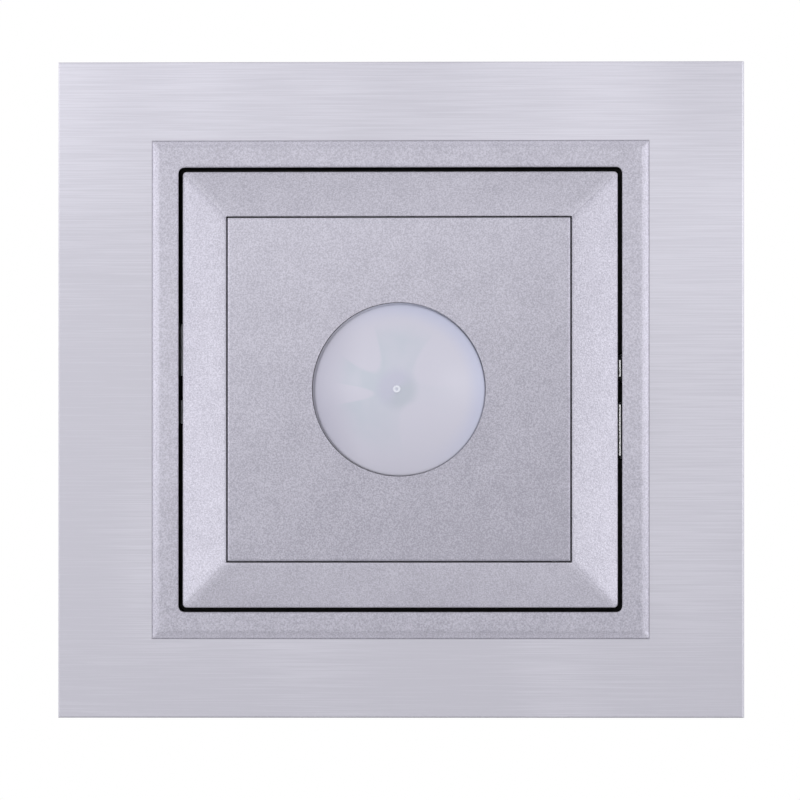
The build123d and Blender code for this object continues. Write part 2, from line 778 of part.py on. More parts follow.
# Inner cover: a cap with four screw wells, the dial holes and the hole for the shroud
with BuildPart() as inner_cover:
    with BuildSketch(front(housing_front)):
        Rectangle(inner_cover_size, inner_cover_size)
    extrude(amount=inner_cover_front - housing_front)
    with BuildSketch(front(housing_front)):
        Rectangle(inner_cover_size - 2 * inner_cover_wall, inner_cover_size - 2 * inner_cover_wall)
    extrude(amount=inner_cover_rear - housing_front, mode=Mode.SUBTRACT)
    step(corner_points, sensor_board_front, inner_cover_rear, well_outer_radius)
    # the wells stay inside the cap's own outline
    with BuildSketch(front(housing_front)):
        Rectangle(inner_cover_size, inner_cover_size)
    extrude(amount=inner_cover_front - housing_front, mode=Mode.INTERSECT)
    step(corner_points, well_top, inner_cover_front, well_inner_radius, mode=Mode.SUBTRACT)
    step(corner_points, sensor_board_front, well_top, case_screw_hole_radius, mode=Mode.SUBTRACT)
    dial_hole = dial_radius + fitting_gap
    step(dial_points, inner_cover_rear, inner_cover_front, dial_hole, mode=Mode.SUBTRACT)
    shroud_hole = shroud_outer_radius + fitting_gap
    step([(0, 0)], inner_cover_rear, inner_cover_front, shroud_hole, mode=Mode.SUBTRACT)
    # grooves for the latches of the sensor face
    block(
        groove_points,
        latch_rear - fitting_gap,
        latch_rear + latch_height + fitting_gap,
        latch_width + 2 * fitting_gap,
        latch_depth,
        mode=Mode.SUBTRACT,
    )
inner_cover.part.label = "inner_cover"
export_step(inner_cover.part, "parts/inner_cover.step")

case_head_front = well_top + case_screw_head_height
case_screw_tip = well_top - case_screw_length
with BuildPart() as case_screws:
    step(corner_points, case_screw_tip, well_top, case_screw_radius)
    step(corner_points, well_top, case_head_front, case_screw_head_radius)
    cross_start = case_head_front - case_screw_slot_depth
    cross_length = case_screw_head_radius * cross_slot_share
    cross_arms = ((case_screw_slot_width, cross_length), (cross_length, case_screw_slot_width))
    for arm_width, arm_height in cross_arms:
        block(corner_points, cross_start, case_head_front, arm_width, arm_height, mode=Mode.SUBTRACT)
case_screws.part.label = "case_screws"
export_step(case_screws.part, "parts/case_screws.step")

# Support frame: pressed steel with box screw slots, stiffening beads, ears for the claws and sprung tongues
with BuildPart() as support_frame:
    with BuildSketch(front()) as support_outline:
        Rectangle(support_width, support_height)
        chamfer(support_outline.vertices(), length=support_corner_cut)
        Rectangle(housing_opening, housing_opening, mode=Mode.SUBTRACT)
        with Locations((claw_screw_x, 0), (-claw_screw_x, 0)):
            Circle(claw_screw_radius + 2 * running_gap, mode=Mode.SUBTRACT)
        with Locations((0, box_screw_pitch / 2), (0, -box_screw_pitch / 2)):
            SlotOverall(slot_length, slot_width, rotation=90, mode=Mode.SUBTRACT)
    extrude(amount=support_front)
    # beads pressed up along the sides
    bead_x = (support_width + collar_size) / 4
    with BuildSketch(front(support_front)):
        with Locations((bead_x, 0), (-bead_x, 0)):
            SlotOverall(bead_length, bead_width, rotation=90)
    extrude(amount=bead_height)
    # tongues, each with a barb that holds the carrier's collar
    for side, tongue_z, tongue_width, tongue_tip in tongues:
        barb_front = tongue_tip - tongue_barb_drop
        with BuildSketch(level(tongue_z, side)):
            with BuildLine():
                Polyline(
                    (tongue_inner, support_front),
                    (tongue_inner, tongue_tip),
                    (tongue_outer, tongue_tip),
                    (tongue_outer, barb_front),
                    (tongue_outer + tongue_barb, barb_front - tongue_barb_height),
                    (tongue_outer, barb_front - tongue_barb_height),
                    (tongue_outer, support_front),
                    close=True,
                )
            make_face()
        extrude(amount=tongue_width / 2, both=True)
    # ears bent back to carry the claws' rivets
    for side in (-1, 1):
        for ear_start in (-ear_outer, ear_inner):
            with BuildSketch(level(0, side).offset(ear_start)):
                with Locations((claw_pivot_x, -claw_pivot_depth / 2)):
                    Rectangle(2 * ear_half_width, claw_pivot_depth)
                with Locations((claw_pivot_x, -claw_pivot_depth)):
                    Circle(ear_half_width)
                    Circle(claw_pivot_radius + running_gap, mode=Mode.SUBTRACT)
            extrude(amount=claw_sheet)
support_frame.part.label = "support_frame"
export_step(support_frame.part, "parts/support_frame.step")

# Rear housing: a stepped case with a flange, screw bosses, ribs for the power board and hooks
with BuildPart() as housing_cavity:
    with BuildSketch(front(housing_floor)):
        RectangleRounded(cavity_size, cavity_size, boss_radius)
    extrude(amount=housing_front - housing_floor)
    with BuildSketch(front(housing_floor)):
        with Locations((0, (step_high + housing_wall - cavity_size / 2) / 2)):
            Rectangle(cavity_size, step_high + housing_wall + cavity_size / 2)
    extrude(amount=step_floor - housing_floor, mode=Mode.SUBTRACT)

with BuildPart() as rear_housing:
    with BuildSketch(front(housing_rear)):
        RectangleRounded(housing_size, housing_size, housing_corner)
    extrude(amount=support_front - housing_rear)
    chamfer(rear_housing.faces().sort_by(Axis.Y)[-1].edges(), length=housing_edge)
    # the case is shallower over the terminals
    with BuildSketch(front(housing_rear)):
        with Locations((0, (step_high - housing_size / 2) / 2)):
            Rectangle(housing_size, step_high + housing_size / 2)
    extrude(amount=step_rear - housing_rear, mode=Mode.SUBTRACT)
    with BuildSketch(front(support_front)):
        RectangleRounded(
            housing_size + 2 * housing_flange_side,
            housing_size + 2 * housing_flange_end,
            housing_corner,
        )
    extrude(amount=housing_flange_thickness)
    add(housing_cavity.part, mode=Mode.SUBTRACT)
    # bosses for the case screws
    step(corner_points, step_floor, housing_front, boss_radius)
    pilot_floor = case_screw_tip - latch_gap
    step(corner_points, pilot_floor, housing_front, case_screw_radius + running_gap, mode=Mode.SUBTRACT)
    # ribs that the power board rests on
    rib_line = cavity_size / 2 - rib_depth / 2
    side_ribs = [(x * rib_line, side_rib_shift + z * side_rib_spread / 2) for x in (-1, 1) for z in (-1, 1)]
    block(side_ribs, housing_floor, power_board_rear, rib_depth, rib_width)
    top_ribs = [(x * top_rib_spread / 2, rib_line) for x in (-1, 1)]
    block(top_ribs, housing_floor, power_board_rear, rib_width, rib_depth)
    # hooks that snap behind the support frame
    for hook_x in (-hook_spread / 2, hook_spread / 2):
        for turn in (-1, 1):
            with BuildSketch(upright(hook_x)):
                with BuildLine():
                    Polyline(
                        (turn * housing_size / 2, -sliding_gap),
                        (turn * (housing_size / 2 + hook_depth), -sliding_gap),
                        (turn * housing_size / 2, -sliding_gap - hook_height),
                        close=True,
                    )
                make_face()
            extrude(amount=hook_width / 2, both=True)
    # wire entries below, screwdriver holes behind, vents above
    for x in pole_x:
        with BuildSketch(Plane.XY.offset(-housing_size / 2)):
            with Locations((x, -wire_height)):
                Circle(wire_hole_radius)
        extrude(amount=housing_wall, mode=Mode.SUBTRACT)
    driver_points = [(x, pole_z) for x in pole_x]
    step(driver_points, step_rear, step_floor, driver_hole_radius, mode=Mode.SUBTRACT)
    with BuildSketch(Plane.XY.offset(housing_size / 2)):
        with Locations((0, vent_depth)):
            with GridLocations(vent_pitch, 0, vent_count, 1):
                Rectangle(vent_width, vent_height)
    extrude(amount=-housing_wall, mode=Mode.SUBTRACT)
rear_housing.part.label = "rear_housing"
export_step(rear_housing.part, "parts/rear_housing.step")

# Power board, notched round the bosses and slotted for the legs of the contacts
leg_z = pocket_high + contact_leg / 2 + contact_seat
board_notch = power_board_size / 2 - board_corner + boss_radius + power_board_gap
with BuildPart() as power_board:
    with BuildSketch(front(power_board_rear)):
        Rectangle(power_board_size, power_board_size)
        with GridLocations(power_board_size, power_board_size, 2, 2):
            Rectangle(2 * board_notch, 2 * board_notch, mode=Mode.SUBTRACT)
        with Locations(*[(x, leg_z) for x in pole_x]):
            Rectangle(contact_leg_width + fitting_gap, contact_leg + fitting_gap, mode=Mode.SUBTRACT)
    extrude(amount=board_thickness)
power_board.part.label = "power_board"
export_step(power_board.part, "parts/power_board.step")

with BuildPart() as board_connector:
    block([(connector_x, connector_z)], power_board_front, housing_front, connector_width, connector_length)
    chamfer(board_connector.edges().filter_by(Axis.Y), length=connector_width / 8)
board_connector.part.label = "board_connector"
export_step(board_connector.part, "parts/board_connector.step")

with BuildPart() as relay:
    relay_rear = power_board_rear - relay_height
    block([(relay_x, relay_z)], relay_rear, power_board_rear, relay_width, relay_length)
    relay_rim = relay.edges().group_by(Axis.Y)[-1] + relay.edges().filter_by(Axis.Y)
    fillet(relay_rim, radius=relay_edge)
relay.part.label = "relay"
export_step(relay.part, "parts/relay.step")

with BuildPart() as film_capacitor:
    block([(film_x, film_z)], power_board_rear - film_height, power_board_rear, film_width, film_length)
    film_rim = film_capacitor.edges().group_by(Axis.Y)[-1] + film_capacitor.edges().filter_by(Axis.Y)
    fillet(film_rim, radius=film_edge)
film_capacitor.part.label = "film_capacitor"
export_step(film_capacitor.part, "parts/film_capacitor.step")

# Round capacitor cans, each with the crimped groove near its seat
cans = (
    ("electrolytic_capacitor", electrolytic_x, electrolytic_z, electrolytic_radius, electrolytic_height),
    ("filter_capacitor", filter_x, filter_z, filter_radius, filter_height),
)
for can_name, can_x, can_z, can_radius, can_height in cans:
    with BuildPart() as can:
        groove_front = power_board_rear - can_height * (1 - can_groove_share)
        step([(can_x, can_z)], power_board_rear - can_height, power_board_rear, can_radius)
        fillet(can.faces().sort_by(Axis.Y)[-1].edges(), radius=can_edge)
        with BuildSketch(front(groove_front - can_groove_width)):
            with Locations((can_x, can_z)):
                Circle(can_radius + overrun)
                Circle(can_radius - can_edge, mode=Mode.SUBTRACT)
        extrude(amount=can_groove_width, mode=Mode.SUBTRACT)
    can.part.label = can_name
    export_step(can.part, f"parts/{can_name}.step")

varistor_height = power_board_rear - varistor_standoff - varistor_radius
with BuildPart() as varistor:
    with BuildSketch(level(varistor_z)):
        with Locations((varistor_x, varistor_height)):
            Circle(varistor_radius)
    extrude(amount=varistor_thickness / 2, both=True)
    fillet(varistor.edges().filter_by(GeomType.CIRCLE), radius=varistor_thickness / 4)
    lead_offset = varistor_radius * varistor_lead_share
    varistor_leads = [(varistor_x - lead_offset, varistor_z), (varistor_x + lead_offset, varistor_z)]
    step(varistor_leads, varistor_height, power_board_rear, lead_radius)
varistor.part.label = "varistor"
export_step(varistor.part, "parts/varistor.step")


def axial_part(middle, way, radius, length, run):
    """A round body on a bent wire lead that lies along X or Z, with both feet on the board's back."""
    lead_height = power_board_rear - radius - fitting_gap
    reach = length / 2 + run
    sideways = Vector(way).cross(Vector(0, -1, 0))
    plane = Plane(origin=(middle[0], -lead_height, middle[1]), x_dir=way, z_dir=sideways)
    with BuildPart() as body:
        with BuildSketch(Plane(origin=plane.origin - Vector(way) * length / 2, z_dir=way)):
            Circle(radius)
        extrude(amount=length)
        fillet(body.edges().filter_by(GeomType.CIRCLE), radius=radius / 4)
        with BuildLine(plane) as wire:
            rise = power_board_rear - lead_height
            FilletPolyline((-reach, rise), (-reach, 0), (reach, 0), (reach, rise), radius=lead_bend)
        with BuildSketch(Plane(origin=wire.wire() @ 0, z_dir=wire.wire() % 0)):
            Circle(lead_radius)
        sweep(path=wire.wire())
    return body


fuse_resistor = axial_part((fuse_x, fuse_z), (1, 0, 0), fuse_radius, fuse_length, fuse_lead_run)
fuse_resistor.part.label = "fuse_resistor"
export_step(fuse_resistor.part, "parts/fuse_resistor.step")

with BuildPart() as rectifier_diodes:
    for place in range(diode_count):
        diode_middle = (diode_x + (place - (diode_count - 1) / 2) * diode_pitch, diode_z)
        diode = axial_part(diode_middle, (0, 0, 1), diode_radius, diode_length, diode_lead_run)
        add(diode.part)
rectifier_diodes.part.label = "rectifier_diodes"
export_step(rectifier_diodes.part, "parts/rectifier_diodes.step")

# Terminal block: a pocket for each cage, ledges for the contact, a seat and a recess for the screw
terminal_middle = (terminal_low + terminal_high) / 2
pole_points = [(x, pole_z) for x in pole_x]
contact_low = pocket_low - contact_seat
contact_high = leg_z + contact_leg / 2
with BuildPart() as terminal_body:
    with BuildSketch(front(terminal_rear)):
        with Locations((0, terminal_middle)):
            Rectangle(terminal_width, terminal_high - terminal_low)
    extrude(amount=power_board_rear - terminal_rear)
    block(pole_points, pocket_rear, power_board_rear, pocket_width, pocket_length, mode=Mode.SUBTRACT)
    contact_places = [(x, (contact_low + contact_high) / 2) for x in pole_x]
    block(
        contact_places,
        contact_rear,
        power_board_rear,
        contact_width + fitting_gap,
        contact_high - contact_low + fitting_gap,
        mode=Mode.SUBTRACT,
    )
    step(pole_points, screw_seat, pocket_rear, terminal_screw_radius + 2 * running_gap, mode=Mode.SUBTRACT)
    step(pole_points, terminal_rear, screw_seat, terminal_head_radius + fitting_gap, mode=Mode.SUBTRACT)
    with BuildSketch(Plane.XY.offset(terminal_low)):
        with Locations(*[(x, -wire_height) for x in pole_x]):
            Circle(wire_hole_radius)
    extrude(amount=terminal_entry_wall, mode=Mode.SUBTRACT)
terminal_body.part.label = "terminal_body"
export_step(terminal_body.part, "parts/terminal_body.step")

# Contacts: a bar across each cage and a leg through the power board
with BuildPart() as contact_bars:
    block(contact_places, contact_rear, contact_front, contact_width, contact_high - contact_low)
    leg_points = [(x, leg_z) for x in pole_x]
    leg_tip = power_board_front + contact_leg_reach
    block(leg_points, contact_front, leg_tip, contact_leg_width, contact_leg)
contact_bars.part.label = "contact_bars"
export_step(contact_bars.part, "parts/contact_bars.step")

terminal_screw_tip = contact_rear - sliding_gap
for number, x in enumerate(pole_x, start=1):
    with BuildPart() as terminal_screw:
        step([(x, pole_z)], screw_seat, terminal_screw_tip, terminal_screw_radius)
        chamfer(terminal_screw.faces().sort_by(Axis.Y)[0].edges(), length=screw_point)
        step([(x, pole_z)], terminal_head_rear, screw_seat, terminal_head_radius)
        block(
            [(x, pole_z)],
            terminal_head_rear,
            terminal_head_rear + terminal_slot_depth,
            terminal_slot_width,
            2 * terminal_head_radius,
            mode=Mode.SUBTRACT,
        )
    terminal_screw.part.label = f"terminal_screw_{number}"
    export_step(terminal_screw.part, f"parts/terminal_screw_{number}.step")

    with BuildPart() as terminal_cage:
        block([(x, pole_z)], cage_rear, cage_front, cage_width, cage_length)
        chamfer(terminal_cage.edges().filter_by(Axis.Z), length=cage_wall / 2)
        window_width = cage_width - 2 * cage_wall
        block([(x, pole_z)], thread_front, cage_floor_rear, window_width, cage_length, mode=Mode.SUBTRACT)
        thread_radius = terminal_screw_radius + running_gap
        step([(x, pole_z)], cage_rear, thread_front, thread_radius, mode=Mode.SUBTRACT)
    terminal_cage.part.label = f"terminal_cage_{number}"
    export_step(terminal_cage.part, f"parts/terminal_cage_{number}.step")


def pin_in_claw(advance):
    """Where the nut's pin stands, seen from the swinging claw, once the nut has come this far forward."""
    swing = radians(claw_swing) * advance / claw_travel
    across = claw_screw_x - claw_pivot_x
    up = claw_pivot_depth - nut_rest + advance
    return (
        claw_pivot_x + across * cos(swing) + up * sin(swing),
        -claw_pivot_depth - across * sin(swing) + up * cos(swing),
    )


def cam_point(advance):
    """The point of the claw's cam edge that bears on the pin: square to the pin's path, on its outer side."""
    before = pin_in_claw(advance - running_gap)
    after = pin_in_claw(advance + running_gap)
    across = after[0] - before[0]
    up = after[1] - before[1]
    reach = (nut_pin_radius + sliding_gap) / hypot(across, up)
    middle = pin_in_claw(advance)
    return (middle[0] + up * reach, middle[1] - across * reach)


cam_span = claw_travel + cam_lead + cam_tail
cam_edge = [cam_point(cam_span * place / (cam_points - 1) - cam_lead) for place in range(cam_points)]

for side, side_name in ((-1, "left"), (1, "right")):
    # Claw: a sheet steel channel, two cheeks with the cam edge and a web with a toothed, flared tip
    with BuildPart() as claw:
        with BuildSketch(level(0, side)):
            with BuildLine():
                Spline(*cam_edge)
                Line(cam_edge[-1], (claw_pivot_x - claw_boss_radius, -claw_pivot_depth))
                ThreePointArc(
                    (claw_pivot_x - claw_boss_radius, -claw_pivot_depth),
                    (claw_pivot_x, claw_boss_radius - claw_pivot_depth),
                    (claw_pivot_x + claw_boss_radius, -claw_pivot_depth),
                )
                Polyline(
                    (claw_pivot_x + claw_boss_radius, -claw_pivot_depth),
                    (web_outer, flare_start),
                    (web_outer + claw_flare, claw_tip),
                    (web_inner + claw_flare, claw_tip),
                    (web_inner, flare_start),
                    cam_edge[0],
                )
            make_face()
        extrude(amount=cheek_outer, both=True)
        with BuildSketch(level(0, side)):
            with BuildLine():
                Polyline(
                    (claw_screw_x - claw_pivot_offset - overrun, 0),
                    (web_outer + overrun, 0),
                    (web_outer + overrun, -claw_web_front),
                    (web_inner, -claw_web_front),
                    (web_inner, flare_start),
                    (web_inner, claw_tip),
                    (claw_screw_x - claw_pivot_offset - overrun, claw_tip),
                    close=True,
                )
            make_face()
        extrude(amount=cheek_inner, both=True, mode=Mode.SUBTRACT)
        with BuildSketch(level(0, side)):
            with Locations((claw_pivot_x, -claw_pivot_depth)):
                Circle(claw_pivot_radius + running_gap)
        extrude(amount=cheek_outer, both=True, mode=Mode.SUBTRACT)
        tooth_pitch = 2 * cheek_outer / claw_teeth
        with BuildSketch(Plane(origin=(0, 0, 0), x_dir=(0, 0, side), z_dir=(side, 0, 0))):
            for tooth in range(claw_teeth):
                tooth_middle = (tooth - (claw_teeth - 1) / 2) * tooth_pitch
                with BuildLine():
                    Polyline(
                        (tooth_middle - tooth_pitch / 4, claw_tip),
                        (tooth_middle + tooth_pitch / 4, claw_tip),
                        (tooth_middle, claw_tip + claw_tooth_depth),
                        close=True,
                    )
                make_face()
        extrude(amount=web_outer + claw_flare + overrun, mode=Mode.SUBTRACT)
    claw.part.label = f"claw_{side_name}"
    export_step(claw.part, f"parts/claw_{side_name}.step")

    # Claw screw: slotted head on the support frame, shank through it into the nut
    with BuildPart() as claw_screw:
        claw_place = (side * claw_screw_x, 0)
        head_front = support_front + claw_head_height
        step([claw_place], claw_screw_tip, support_front, claw_screw_radius)
        chamfer(claw_screw.faces().sort_by(Axis.Y)[-1].edges(), length=screw_point)
        step([claw_place], support_front, head_front, claw_head_radius)
        fillet(claw_screw.faces().sort_by(Axis.Y)[0].edges(), radius=claw_head_height / 4)
        slot_start = head_front - claw_slot_depth
        block([claw_place], slot_start, head_front, claw_slot_width, 2 * claw_head_radius, mode=Mode.SUBTRACT)
    claw_screw.part.label = f"claw_screw_{side_name}"
    export_step(claw_screw.part, f"parts/claw_screw_{side_name}.step")

    # Nut: a square block with a pin on each side that pushes the cam edges
    with BuildPart() as claw_nut:
        with BuildSketch(level(0, side)):
            with Locations((claw_screw_x, -nut_rest)):
                Rectangle(2 * nut_half_across, 2 * nut_half_along)
        extrude(amount=nut_half_width, both=True)
        chamfer(claw_nut.edges().filter_by(Axis.Z), length=nut_edge)
        with BuildSketch(level(0, side)):
            with Locations((claw_screw_x, -nut_rest)):
                Circle(nut_pin_radius)
        extrude(amount=cheek_outer, both=True)
        nut_bore = claw_screw_radius + running_gap
        nut_rear = -nut_rest - nut_half_along
        nut_front = nut_half_along - nut_rest
        step([claw_place], nut_rear, nut_front, nut_bore, mode=Mode.SUBTRACT)
    claw_nut.part.label = f"claw_nut_{side_name}"
    export_step(claw_nut.part, f"parts/claw_nut_{side_name}.step")

# Rivets that hold each cheek to its ear
with BuildPart() as claw_pins:
    for side in (-1, 1):
        for way in (-1, 1):
            with BuildSketch(level(0, side).offset(way * rivet_inner)):
                with Locations((claw_pivot_x, -claw_pivot_depth)):
                    Circle(claw_pivot_radius)
            extrude(amount=way * (ear_outer - rivet_inner))
            with BuildSketch(level(0, side).offset(way * ear_outer)):
                with Locations((claw_pivot_x, -claw_pivot_depth)):
                    Circle(rivet_head_radius)
            extrude(amount=way * rivet_head_height)
claw_pins.part.label = "claw_pins"
export_step(claw_pins.part, "parts/claw_pins.step")
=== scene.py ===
import bmesh
import bpy
import json
from math import cos, hypot, pi, radians, sin, sqrt
from mathutils import Matrix, Vector
from types import SimpleNamespace


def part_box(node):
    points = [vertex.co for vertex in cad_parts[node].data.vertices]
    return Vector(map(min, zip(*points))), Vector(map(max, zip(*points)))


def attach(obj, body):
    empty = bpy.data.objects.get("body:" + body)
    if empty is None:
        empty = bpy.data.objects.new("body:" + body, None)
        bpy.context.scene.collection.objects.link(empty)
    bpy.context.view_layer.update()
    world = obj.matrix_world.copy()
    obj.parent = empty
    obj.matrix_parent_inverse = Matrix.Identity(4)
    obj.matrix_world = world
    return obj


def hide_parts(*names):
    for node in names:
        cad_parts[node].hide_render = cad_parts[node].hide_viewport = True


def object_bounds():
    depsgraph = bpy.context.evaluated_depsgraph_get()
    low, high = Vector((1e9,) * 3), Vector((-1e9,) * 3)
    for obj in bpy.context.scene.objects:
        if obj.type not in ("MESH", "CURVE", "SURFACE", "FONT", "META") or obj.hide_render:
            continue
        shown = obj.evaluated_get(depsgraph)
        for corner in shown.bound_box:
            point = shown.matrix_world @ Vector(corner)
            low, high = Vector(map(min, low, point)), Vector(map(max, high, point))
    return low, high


# Dresses the motion sensor light switch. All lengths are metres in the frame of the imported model.
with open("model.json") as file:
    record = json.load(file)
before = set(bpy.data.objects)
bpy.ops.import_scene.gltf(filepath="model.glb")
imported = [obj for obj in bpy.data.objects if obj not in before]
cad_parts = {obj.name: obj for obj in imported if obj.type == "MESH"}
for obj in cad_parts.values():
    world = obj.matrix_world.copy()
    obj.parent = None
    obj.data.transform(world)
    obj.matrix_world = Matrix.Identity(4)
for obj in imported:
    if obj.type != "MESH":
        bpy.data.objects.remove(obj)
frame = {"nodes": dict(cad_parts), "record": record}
cad_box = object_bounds()
nodes = frame["nodes"]

# Camera: a long lens a little to the right of straight on
camera_azimuth = radians(3.8)
camera_elevation = radians(-0.7)
camera_distance = 2.5
picture_width = 0.1048
sensor_width = 0.036
aim_left = -0.00004
aim_below = 0.00137
aim_depth = -0.0105
clip_near = 0.1
clip_far = 20
mm_per_m = 1000

# Colours as they look on screen, from 0 to 1
plate_tone = (0.819, 0.813, 0.854)
plate_dark_tone = (0.746, 0.740, 0.780)
silver_tone = (0.848, 0.839, 0.890)
silver_dark_tone = (0.632, 0.624, 0.673)
# bare plastic behind the paint, toned dark so that the gaps show black: partly bare plastic, partly painted
# shade
raw_and_shade_tone = (0.07, 0.07, 0.075)
crevice_shade_tone = (0.03, 0.03, 0.035)
lens_tone = (0.795, 0.789, 0.845)
leaf_tone = (0.752, 0.771, 0.822)
# painted shade on the lens's left side
lens_painted_shade_tone = (0.725, 0.720, 0.785)
nub_tone = (0.89, 0.90, 0.94)
core_tone = (0.749, 0.751, 0.822)
core_low_tone = (0.729, 0.748, 0.798)
rim_tone = (0.755, 0.766, 0.856)
# sheared tips: burnished steel with a painted highlight, and torn steel with painted shade
burnished_highlight_tone = (0.97, 0.97, 0.98)
torn_and_shade_tone = (0.16, 0.16, 0.17)

# Edges that catch the light as if rounded, by radius
soft_edge = 0.00007
worn_edge = 0.00045
ring_edge = 0.0006
plate_edge = 0.00002
lens_edge = 0.00005
bevel_samples = 8
smooth_angle = radians(25)

# Marks between these levels carry a surface from its dullest to its glossiest
gloss_range = (0.2, 0.8)

# Brushed plate: one brush mark, its relief, the broad bands, and the painted shade on its lower half
brush_width = 0.00016
brush_length = 0.012
brush_detail = 3.0
brush_rough = 0.6
brush_depth = 0.000004
brush_range = (0.30, 0.70)
brush_share = 0.55
band_size = (0.030, 0.030, 0.045)
band_range = (0.35, 0.65)
band_share = 0.45
# painted shade on the lower half: the heights between which it fades out upwards, and its share
plate_painted_shade_heights = (-0.005, 0.030)
plate_painted_shade = -0.36
plate_roughness = 0.40
plate_roughness_swing = 0.04
plate_anisotropy = 0.5

# Silver paint on moulded plastic: its sand, its specks of gloss and its clouds
sand_grain = 0.00019
sand_rough = 0.7
sand_depth = 0.00004
sand_range = (0.32, 0.68)
sand_share = 0.52
speck_grain = sand_grain * 0.6
speck_range = (0.3, 0.7)
silver_cloud = 0.004
silver_cloud_share = 0.25
silver_base_share = 0.115
silver_roughness = 0.46
silver_roughness_swing = 0.08
silver_metallic = 0.6
silver_specular = 0.3
# how far a face may turn from the front, and how deep it may lie, and still be sprayed
spray_facing = (-0.1, -0.5)
spray_depths = (-0.0084, -0.0089)
# each piece's own lift in tone, and its painted light and shade: a drift per metre to the right and upwards
face_shift = -0.16
face_painted_shade_drift = (-3.3, 7.7)
ring_shift = 0.012
ring_painted_shade_drift = (-0.8, 2.6)
bezel_shift = -0.015
bezel_painted_shade_drift = (0.3, -3.8)
# soft mitres of the bezel, in painted light and shade: share taken from each side, and how far it reaches
mitre_painted_shade = 0.2
mitre_reach = 0.0013
# painted light and shade on the ring: it darkens towards the top and the foot, per square metre, and its
# lower slope and rim are painted lighter
ring_painted_shade_sag = 140.0
ring_foot = -0.0316
ring_foot_reach = 0.0004
ring_foot_painted_highlight = 0.24
ring_rim = 0.0319
ring_rim_reach = 0.0006
ring_rim_painted_highlight = 0.2
# the paint also reaches into the line between ring and plate, between these distances from the middle
line_inner = 0.0320
line_outer = 0.0330
line_depth = -0.0055

# Tips of the steel frame's tongues: where their front is, the bright band's edge, and its heights. The
# bright band is partly burnish and partly painted highlight; the rest of each tip is painted shade over torn
# steel
tip_depths = (-0.0069, -0.00705)
band_edge = 0.02882
band_softness = 0.00006
band_heights = [(0.0028, 0.00113), (-0.0053, 0.0034)]
band_end_softness = 0.0001
burnish = 0.8

# Milky lens: gloss, and a faint ripple
lens_roughness = 0.42
lens_coat = 0.15
lens_coat_roughness = 0.3
ripple_size = 0.0012
ripple_depth = 0.000006
# bright wedges between the leaves: the tip's place across and up, the way it opens, and how narrow it is
lens_wedges = [
    (-0.0024, 0.0022, 126, 620),
    (-0.0028, -0.0006, 180, 2600),
    (0.0023, 0.0013, 31, 330),
    (0.0012, -0.0021, -55, 300),
]
wedge_softness = (-0.0004, 0.0007)
# leaves: where they fade, the way they are strongest, and the clouds in them
leaf_fade = (0.00615, 0.00943)
leaf_way = 150
leaf_swing = 0.52
leaf_strength = 0.60
leaf_cloud = 0.003
leaf_cloud_range = (0.25, 0.65, 0.6, 1.1)
# core: where it fades, how strong it is, and the way its lower tone lies
core_fade = (0.0016, 0.003335)
core_strength = 0.95
core_way = -40
core_way_range = (-0.4, 0.8)
# rim and the side with painted shade: where they begin and end, and the way the rim's tone lies
rim_fade = (0.0086, 0.0112)
rim_way = 35
rim_way_range = (-0.5, 0.9)
side_fade = (-0.004, -0.0108)
# nub: its radius, the dimple in it, the lip round the dimple, and how softly their tones end
nub_radius = 0.0005
nub_dimple = 0.0002
nub_lip = 0.00012
nub_fade = (nub_radius * 0.75, nub_radius * 1.2)
dimple_fade = (nub_dimple * 0.5, nub_dimple * 1.4)
dimple_tone_share = 0.3

# Lens shape, measured from its own axis and from the sensor face's front
dome_edge = 0.0112
dome_sink = 0.0002
nub_rise = 0.00015
flange_sink = 0.0016
lens_wall = 0.0009
lens_rings = 120
lens_spokes = 240
# the dome sits a little nearer to the hole's edge one way, mostly near its rim
edge_shift = 0.000185
edge_shift_way = radians(-35)
edge_shift_power = 4
shoulder_radius = 0.01136
shoulder_drop = 0.0004
# the nub's outline, as shares of the dimple's and the nub's radius and of the lip's height
dimple_floor = 0.7
dimple_crest = 1.3
nub_crest = 0.85
nub_foot = 1.1
lip_slope = 0.6
# stepped facets inside
groove_pitch = 0.00045
groove_depth = 0.00010
petal_count = 5
petal_tilt = radians(17)
rim_facet_tilt = radians(33)

# Grain of plain moulded parts, and of plated metal
mould_grain = 0.00035
mould_detail = 3.0
mould_rough = 0.6
mould_depth = 0.00001
mould_cloud = 0.008
mould_gloss_swing = 0.08
plated_spangle = 0.0012
plated_bloom = 0.004
plated_bloom_range = (0.3, 0.7)
plated_duller = 0.1
plated_glossier = 0.06
spangle_share = 0.45
scratch_size = (0.0002, 0.002, 0.0002)
scratch_depth = 0.000006
plated_detail = 3.0

